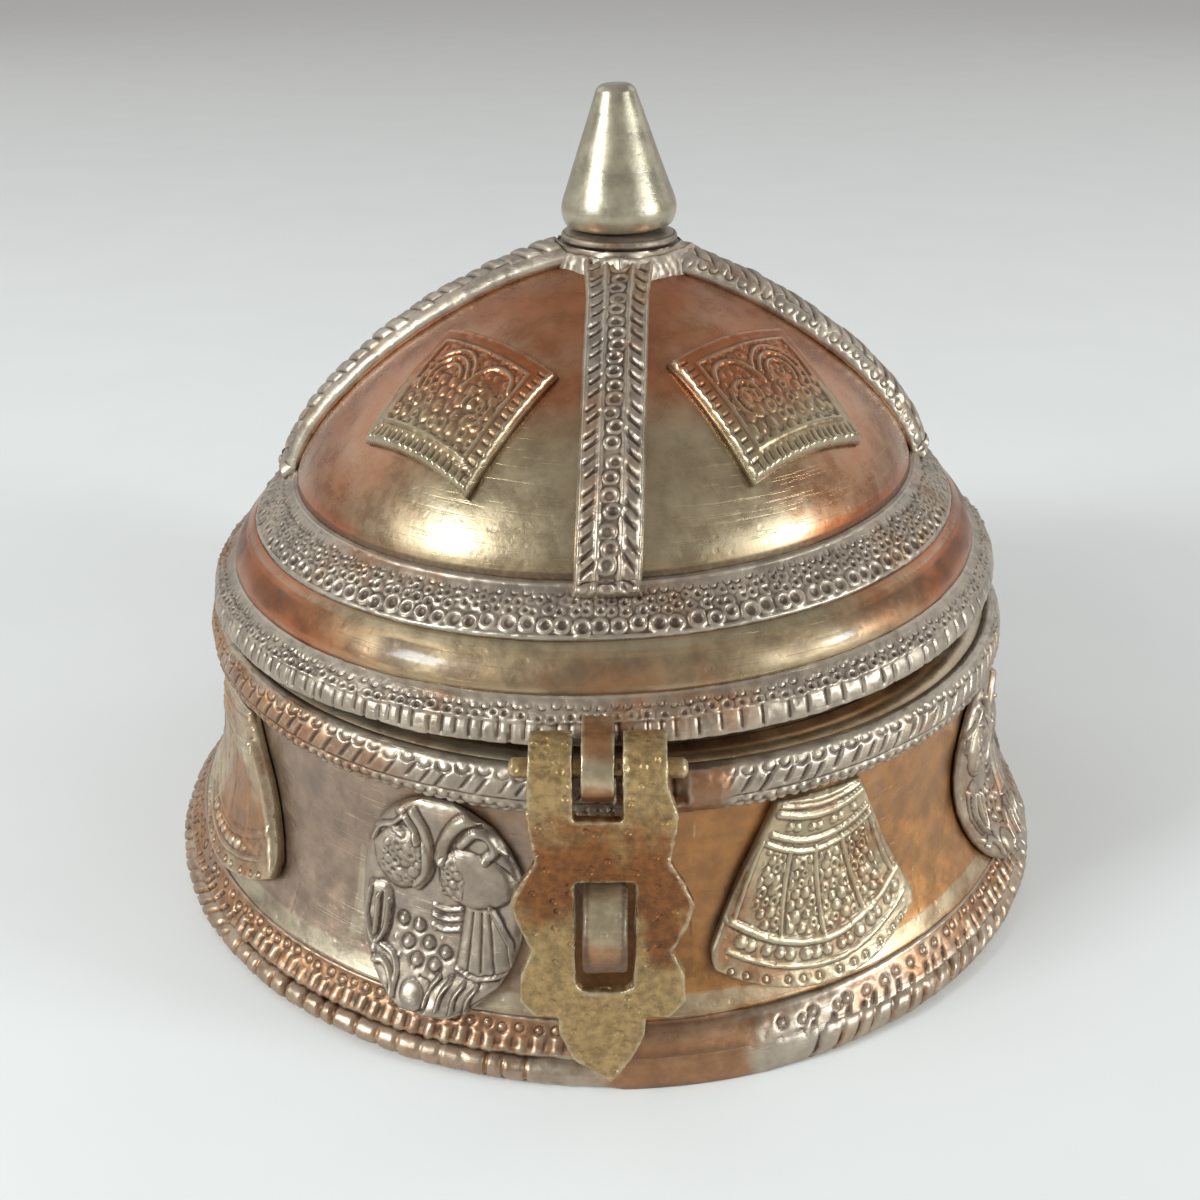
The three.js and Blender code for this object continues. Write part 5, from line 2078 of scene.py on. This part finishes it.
@dataclass
class Crown:
    """The boss where the ribs meet, the finial's collar and the finial."""

    def build(self) -> None:
        """Build the boss, the collar and the finial."""
        self.boss()
        self.collar()
        self.finial()

    def boss(self) -> None:
        """Turn the boss, with two thin ridges round it."""
        top = SHAPE.crown_top
        face = [(2.6, top), (7.4, top), (7.9, top + 0.25), (8.4, top - 0.15), (9.0, top - 0.35)]
        face += [(9.4, top - 0.25), (9.9, top - 0.9), (10.4, top - 1.9), (10.7, top - 3.2), (10.9, 79.3)]
        profile = even_line(soft_line(face, 4), 0.25) + [(10.2, 78.9), (6.0, 80.7), (2.6, 81.2)]
        mesh = spun("crown_boss", profile, 300, True)
        points = points_of(mesh)
        radius = radii(points)
        between = np.abs(np.sin(2 * azimuths(points))) ** 0.8
        outside = np.clip((radius - 7.6) / 1.5, 0, 1) * (points[:, 2] > 79.2)
        marks = 0.2 * unevenness(points, 2.2, 16) + 0.16 * unevenness(points, 0.9, 17)
        worked(mesh, marks * outside)
        points = points_of(mesh)
        pulled = 1 - outside * between * 0.19
        points[:, :2] *= pulled[:, None]
        points[:, 2] -= 0.35 * outside * between
        set_points(mesh, points + np.array([SHAPE.crown_x, 0, 0]))
        set_out(mesh, Stand("lid", ("crown_plate",), "relief", Finish.RELIEF), 0.15, -1.0)

    def collar(self) -> None:
        """Turn the collar under the finial."""
        low = SHAPE.collar_bottom
        face = [(7.0, low), (7.35, low + 0.15), (7.45, low + 0.45), (7.3, low + 0.85), (6.8, low + 1.05)]
        profile = even_line(soft_line(face, 3), 0.15)
        profile += [(4.8, low + 1.7), (2.6, low + 1.7), (2.6, low - 0.3), (6.6, low - 0.3)]
        mesh = spun("finial_ring", profile, 240, True)
        worked(mesh, 0.05 * unevenness(points_of(mesh), 3, 18))
        set_points(mesh, points_of(mesh) + np.array([SHAPE.crown_x, 0, 0]))
        # The ring is darkened almost all over: painted shade, so that it reads as a dark ring in shadow
        # under the finial.
        set_out(mesh, Stand("lid", ("finial_collar",), "relief", Finish.RELIEF), 0.95, -0.5)

    def finial(self) -> None:
        """Turn the finial with its stem, and lean it."""
        radius, tip, belly, tall = 7.3, 2.45, 1.9, 17.2
        stem = [(0, -7.2), (2.2, -7.2), (3.2, -6.6), (3.2, -6.0), (2.0, -6.0), (2.0, -0.1), (5.6, 0.0)]
        side = [(6.3, 0.15), (6.9, 0.65), (radius, belly), (0.985 * radius, 1.7 * belly)]
        side += [(0.87 * radius, 5.6), (0.6 * radius, 11.0), (1.12 * tip, 15.6), (0.98 * tip, 16.5)]
        side += [(0.72 * tip, 17.05), (0.3 * tip, tall)]
        profile = stem + even_line(soft_line(side, 4), 0.25) + [(0, tall)]
        mesh = spun("finial_cone", profile, 260, False)
        points = points_of(mesh)
        worked(mesh, 0.06 * unevenness(points, 4, 19) * (points[:, 2] > 0))
        points = points_of(mesh)
        lean = SHAPE.finial_lean
        leaned = points.copy()
        leaned[:, 0] = points[:, 0] * math.cos(lean) + points[:, 2] * math.sin(lean) + SHAPE.crown_x
        leaned[:, 2] = points[:, 2] * math.cos(lean) - points[:, 0] * math.sin(lean) + SHAPE.finial_bottom
        # Darker at the finial's foot: painted shade where it sits on the collar, with soiling.
        soil_and_shade = 0.8 * hump(points[:, 2], 0, 0.7)
        set_points(mesh, leaned)
        set_out(mesh, Stand("lid", ("finial",), "finial", Finish.FINIAL), soil_and_shade, -1.0)


@dataclass(frozen=True)
class HardwarePiece:
    """A piece of hand-cut hardware.

    Attributes:
        node: the CAD node that gives its form.
        name: the piece's own name.
        body: the CAD body that it moves with.
        grain: the size of the grid that it is worked in, in millimetres.
        dents: how deep its hammer marks are, in millimetres.
        finish: its metal.
    """

    node: str
    name: str
    body: str
    grain: float = 0.2
    dents: float = 0.09
    finish: Finish = Finish.HARDWARE


@dataclass
class Hardware:
    """The hasp, its staple and lug, and the hinge at the back.

    Attributes:
        pieces: what is built, in order.
    """

    pieces: tuple[HardwarePiece, ...] = (
        HardwarePiece("hasp", "hasp_strap", "hasp", 0.2, 0.14),
        HardwarePiece("hasp_lug", "front_lug", "lid", 0.18, 0.09, Finish.BRIGHT),
        HardwarePiece("hasp_pin", "front_pin", "lid", 0.16, 0.05),
        HardwarePiece("hinge_leaf", "back_leaf", "body", 0.22, 0.12),
        HardwarePiece("hinge_lug", "back_lug", "lid", 0.2),
        HardwarePiece("hinge_pin", "back_pin", "body", 0.18, 0.05),
        HardwarePiece("hinge_rivet_left", "rivet_left", "body", 0.16, 0.07),
        HardwarePiece("hinge_rivet_right", "rivet_right", "body", 0.16, 0.07),
    )

    def build(self) -> None:
        """Build each piece of hardware."""
        self.staple()
        for seed, piece in enumerate(self.pieces):
            mesh = self.worked_copy(piece)
            points = points_of(mesh)
            dents = unevenness(points, 3.2, seed + 30) + 0.5 * unevenness(points, 1.1, seed + 40)
            worked(mesh, piece.dents * dents)
            side, height = points[:, 0], points[:, 2]
            if piece.finish is Finish.BRIGHT:
                warmth = np.abs(height - 42) / 1.3 - 1
                # The lug is darker below: painted shade under its curved face.
                soil_and_shade = 0.6 * np.clip((40.5 - height) / 2, 0, 1)
            else:
                warmth = 1.5 - 2.2 * np.clip(np.abs(height - 31.5) / 10, 0, 1)
                warmth += 1.5 * np.exp(-(((side - 6) / 2.5) ** 2) - ((height - 22) / 4.5) ** 2)
                soil_and_shade = 0.0
            set_out(mesh, Stand(piece.body, (piece.node,), "hardware", piece.finish), soil_and_shade, warmth)

    def staple(self) -> None:
        """Bend the staple's strap, out of the wall and back, with its legs turned down inside."""
        low, high, nose, thick, half_width = 19.99, 28.19, -62.6, 1.6, 2.35
        turns = np.linspace(math.pi / 2, -math.pi / 2, 25)
        bend = (high - low) / 2
        loop = [(nose - bend * math.cos(a), (low + high) / 2 + bend * math.sin(a)) for a in turns]
        line = [(-49.6, high - 3.0), (-49.6, high), *loop, (-50.2, low), (-50.2, low - 3.0)]
        track = np.array(even_line(line, 0.35))
        length = np.concatenate([[0], np.cumsum(np.hypot(*np.diff(track, axis=0).T))])
        mesh = sheet("staple_loop", 6, 60, 3)
        flat = points_of(mesh)
        along = (flat[:, 1] + 1) / 2 * length[-1]
        ways = np.gradient(track, axis=0)
        ways /= np.linalg.norm(ways, axis=1)[:, None]
        y, z, run, rise = (np.interp(along, length, column) for column in (*track.T, *ways.T))
        edge = np.clip(1 - (1 - np.abs(flat[:, 0])) * half_width / 0.6, 0, 1)
        out = (flat[:, 2] - 0.5) * (thick - 0.7 * (1 - domed(edge)))
        points = np.stack([flat[:, 0] * half_width, y + rise * out, z - run * out], axis=1)
        set_points(mesh, points + 0.05 * unevenness(points, 2, 31)[:, None])
        # Greyer above and redder, darker below: a painted highlight on the strap's top and painted shade
        # under its bend.
        warmth = (26.5 - points[:, 2]) / 1.5
        soil_and_shade = 0.6 * np.clip((25 - points[:, 2]) / 3, 0, 1)
        set_out(mesh, Stand("body", ("staple",), "hardware", Finish.BRIGHT), soil_and_shade, warmth)

    def worked_copy(self, piece: HardwarePiece) -> Mesh:
        """Copy a CAD node's form, soften its edges and give it an even fine grid.

        Args:
            piece: which node, and how fine.

        Returns:
            The mesh in millimetres.
        """
        shape = bmesh.new()
        shape.from_mesh(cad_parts[piece.node].data)
        bmesh.ops.scale(shape, vec=(1 / MM, 1 / MM, 1 / MM), verts=shape.verts)
        bmesh.ops.remove_doubles(shape, verts=shape.verts, dist=1e-3)
        bmesh.ops.dissolve_limit(shape, angle_limit=math.radians(1), verts=shape.verts, edges=shape.edges)
        bmesh.ops.triangulate(shape, faces=shape.faces)
        rough = mesh_of(piece.name + "_form", shape)
        holder = bpy.data.objects.new(piece.name + "_form", rough)
        bpy.context.scene.collection.objects.link(holder)
        grid = holder.modifiers.new("grid", "REMESH")
        grid.mode = "VOXEL"
        grid.voxel_size = piece.grain
        soften = holder.modifiers.new("soften", "SMOOTH")
        soften.factor = 0.5
        soften.iterations = 4
        depsgraph = bpy.context.evaluated_depsgraph_get()
        mesh = bpy.data.meshes.new_from_object(holder.evaluated_get(depsgraph))
        mesh.name = piece.name
        bpy.data.objects.remove(holder)
        bpy.data.meshes.remove(rough)
        mesh.shade_smooth()
        return mesh


@dataclass
class Studio:
    """A pale floor, soft lamps and the camera.

    Attributes:
        floor_half: half the floor's width in metres.
        floor_colour: the floor's colour.
        world_level: how bright the surroundings are.
        lamp_colour: the lamps' colour.
        lens: the camera's lens in millimetres, on a 36 mm sensor.
        eye: where the camera stands, in metres.
        tilt: its tilt from straight down, in degrees.
        pan: how far it is turned about Z, in degrees.
        roll: how far it is rolled, in degrees.
    """

    floor_half: float = 3.0
    floor_colour: Colour = (0.84, 0.82, 0.79)
    world_level: float = 0.44
    lamp_colour: Colour = (0.84, 0.95, 1.0)
    lens: float = 42.0
    eye: Place = (0.0, -0.18103, 0.12156)
    tilt: float = 63.636
    pan: float = 0.265
    roll: float = 0.0

    def build(self) -> None:
        """Build the floor, the light and the camera."""
        self.floor()
        self.world()
        self.lamp("left_window", -57, 27, 0.8, 0.17, 3.6)
        self.lamp("left_glow", -60, 24, 1.1, 0.6, 3.0)
        self.lamp("right_window", 68, 15, 0.85, 0.15, 2.8)
        self.lamp("right_glow", 60, 16, 1.1, 0.6, 3.5)
        self.lamp("left_side", -125, 30, 1.4, 0.8, 1.8)
        self.lamp("right_side", 125, 30, 1.4, 0.8, 1.8)
        self.camera()

    def floor(self) -> None:
        """Lay the plain pale floor."""
        shape = bmesh.new()
        bmesh.ops.create_grid(shape, x_segments=12, y_segments=12, size=self.floor_half)
        mesh = bpy.data.meshes.new("floor")
        shape.to_mesh(mesh)
        shape.free()
        floor = bpy.data.objects.new("floor", mesh)
        bpy.context.scene.collection.objects.link(floor)
        bench = Bench("pale floor")
        tone = bench.ramp(bench.noise(40.0, 3.0), 0.3, 0.7)
        pale = tuple(channel * 0.98 for channel in self.floor_colour)
        bench.fill(bench.shader, Base_Color=bench.mix(tone, self.floor_colour, pale), Roughness=0.9)
        mesh.materials.append(bench.material)

    def world(self) -> None:
        """Light the scene evenly from all round."""
        world = bpy.data.worlds.new("studio")
        world.use_nodes = True
        back = world.node_tree.nodes["Background"]
        back.inputs["Color"].default_value = (1.0, 1.0, 1.0, 1.0)
        back.inputs["Strength"].default_value = self.world_level
        bpy.context.scene.world = world

    def lamp(self, name: str, azimuth: float, rise: float, away: float, size: float, power: float) -> None:
        """Hang one soft lamp that looks at the box.

        Args:
            name: the lamp's name.
            azimuth: which side it stands on, in degrees from the hasp.
            rise: how high it stands, in degrees.
            away: its distance in metres.
            size: its side in metres.
            power: its power in watts.
        """
        light = bpy.data.lights.new(name, "AREA")
        light.shape = "SQUARE"
        light.size = size
        light.energy = power
        light.color = self.lamp_colour
        lamp = bpy.data.objects.new(name, light)
        turn, lift = math.radians(azimuth), math.radians(rise)
        flat = away * math.cos(lift)
        lamp.location = (flat * math.sin(turn), -flat * math.cos(turn), away * math.sin(lift) + 0.05)
        lamp.rotation_euler = (math.radians(90) - lift, 0, turn)
        bpy.context.scene.collection.objects.link(lamp)

    def camera(self) -> None:
        """Stand the camera where the photograph was taken."""
        lens = bpy.data.cameras.new("camera")
        lens.lens = self.lens
        lens.sensor_width = 36.0
        lens.clip_start = 0.01
        lens.clip_end = 50.0
        camera = bpy.data.objects.new("camera", lens)
        camera.location = self.eye
        camera.rotation_euler = tuple(math.radians(a) for a in (self.tilt, self.roll, self.pan))
        bpy.context.scene.collection.objects.link(camera)
        bpy.context.scene.camera = camera


def main() -> None:
    """Build the box and the studio round it."""
    logging.basicConfig(level=logging.INFO, format="%(name)s: %(message)s")
    bpy.context.scene.view_settings.view_transform = "Standard"
    builders: tuple[Callable[[], None], ...] = (
        Studio().build,
        Bowl().build,
        Wires().build,
        WallPanels().build,
        Lid().build,
        Ribs().build,
        DomePlates().build,
        Crown().build,
        Hardware().build,
    )
    for build in builders:
        build()


if __name__ == "__main__":
    main()
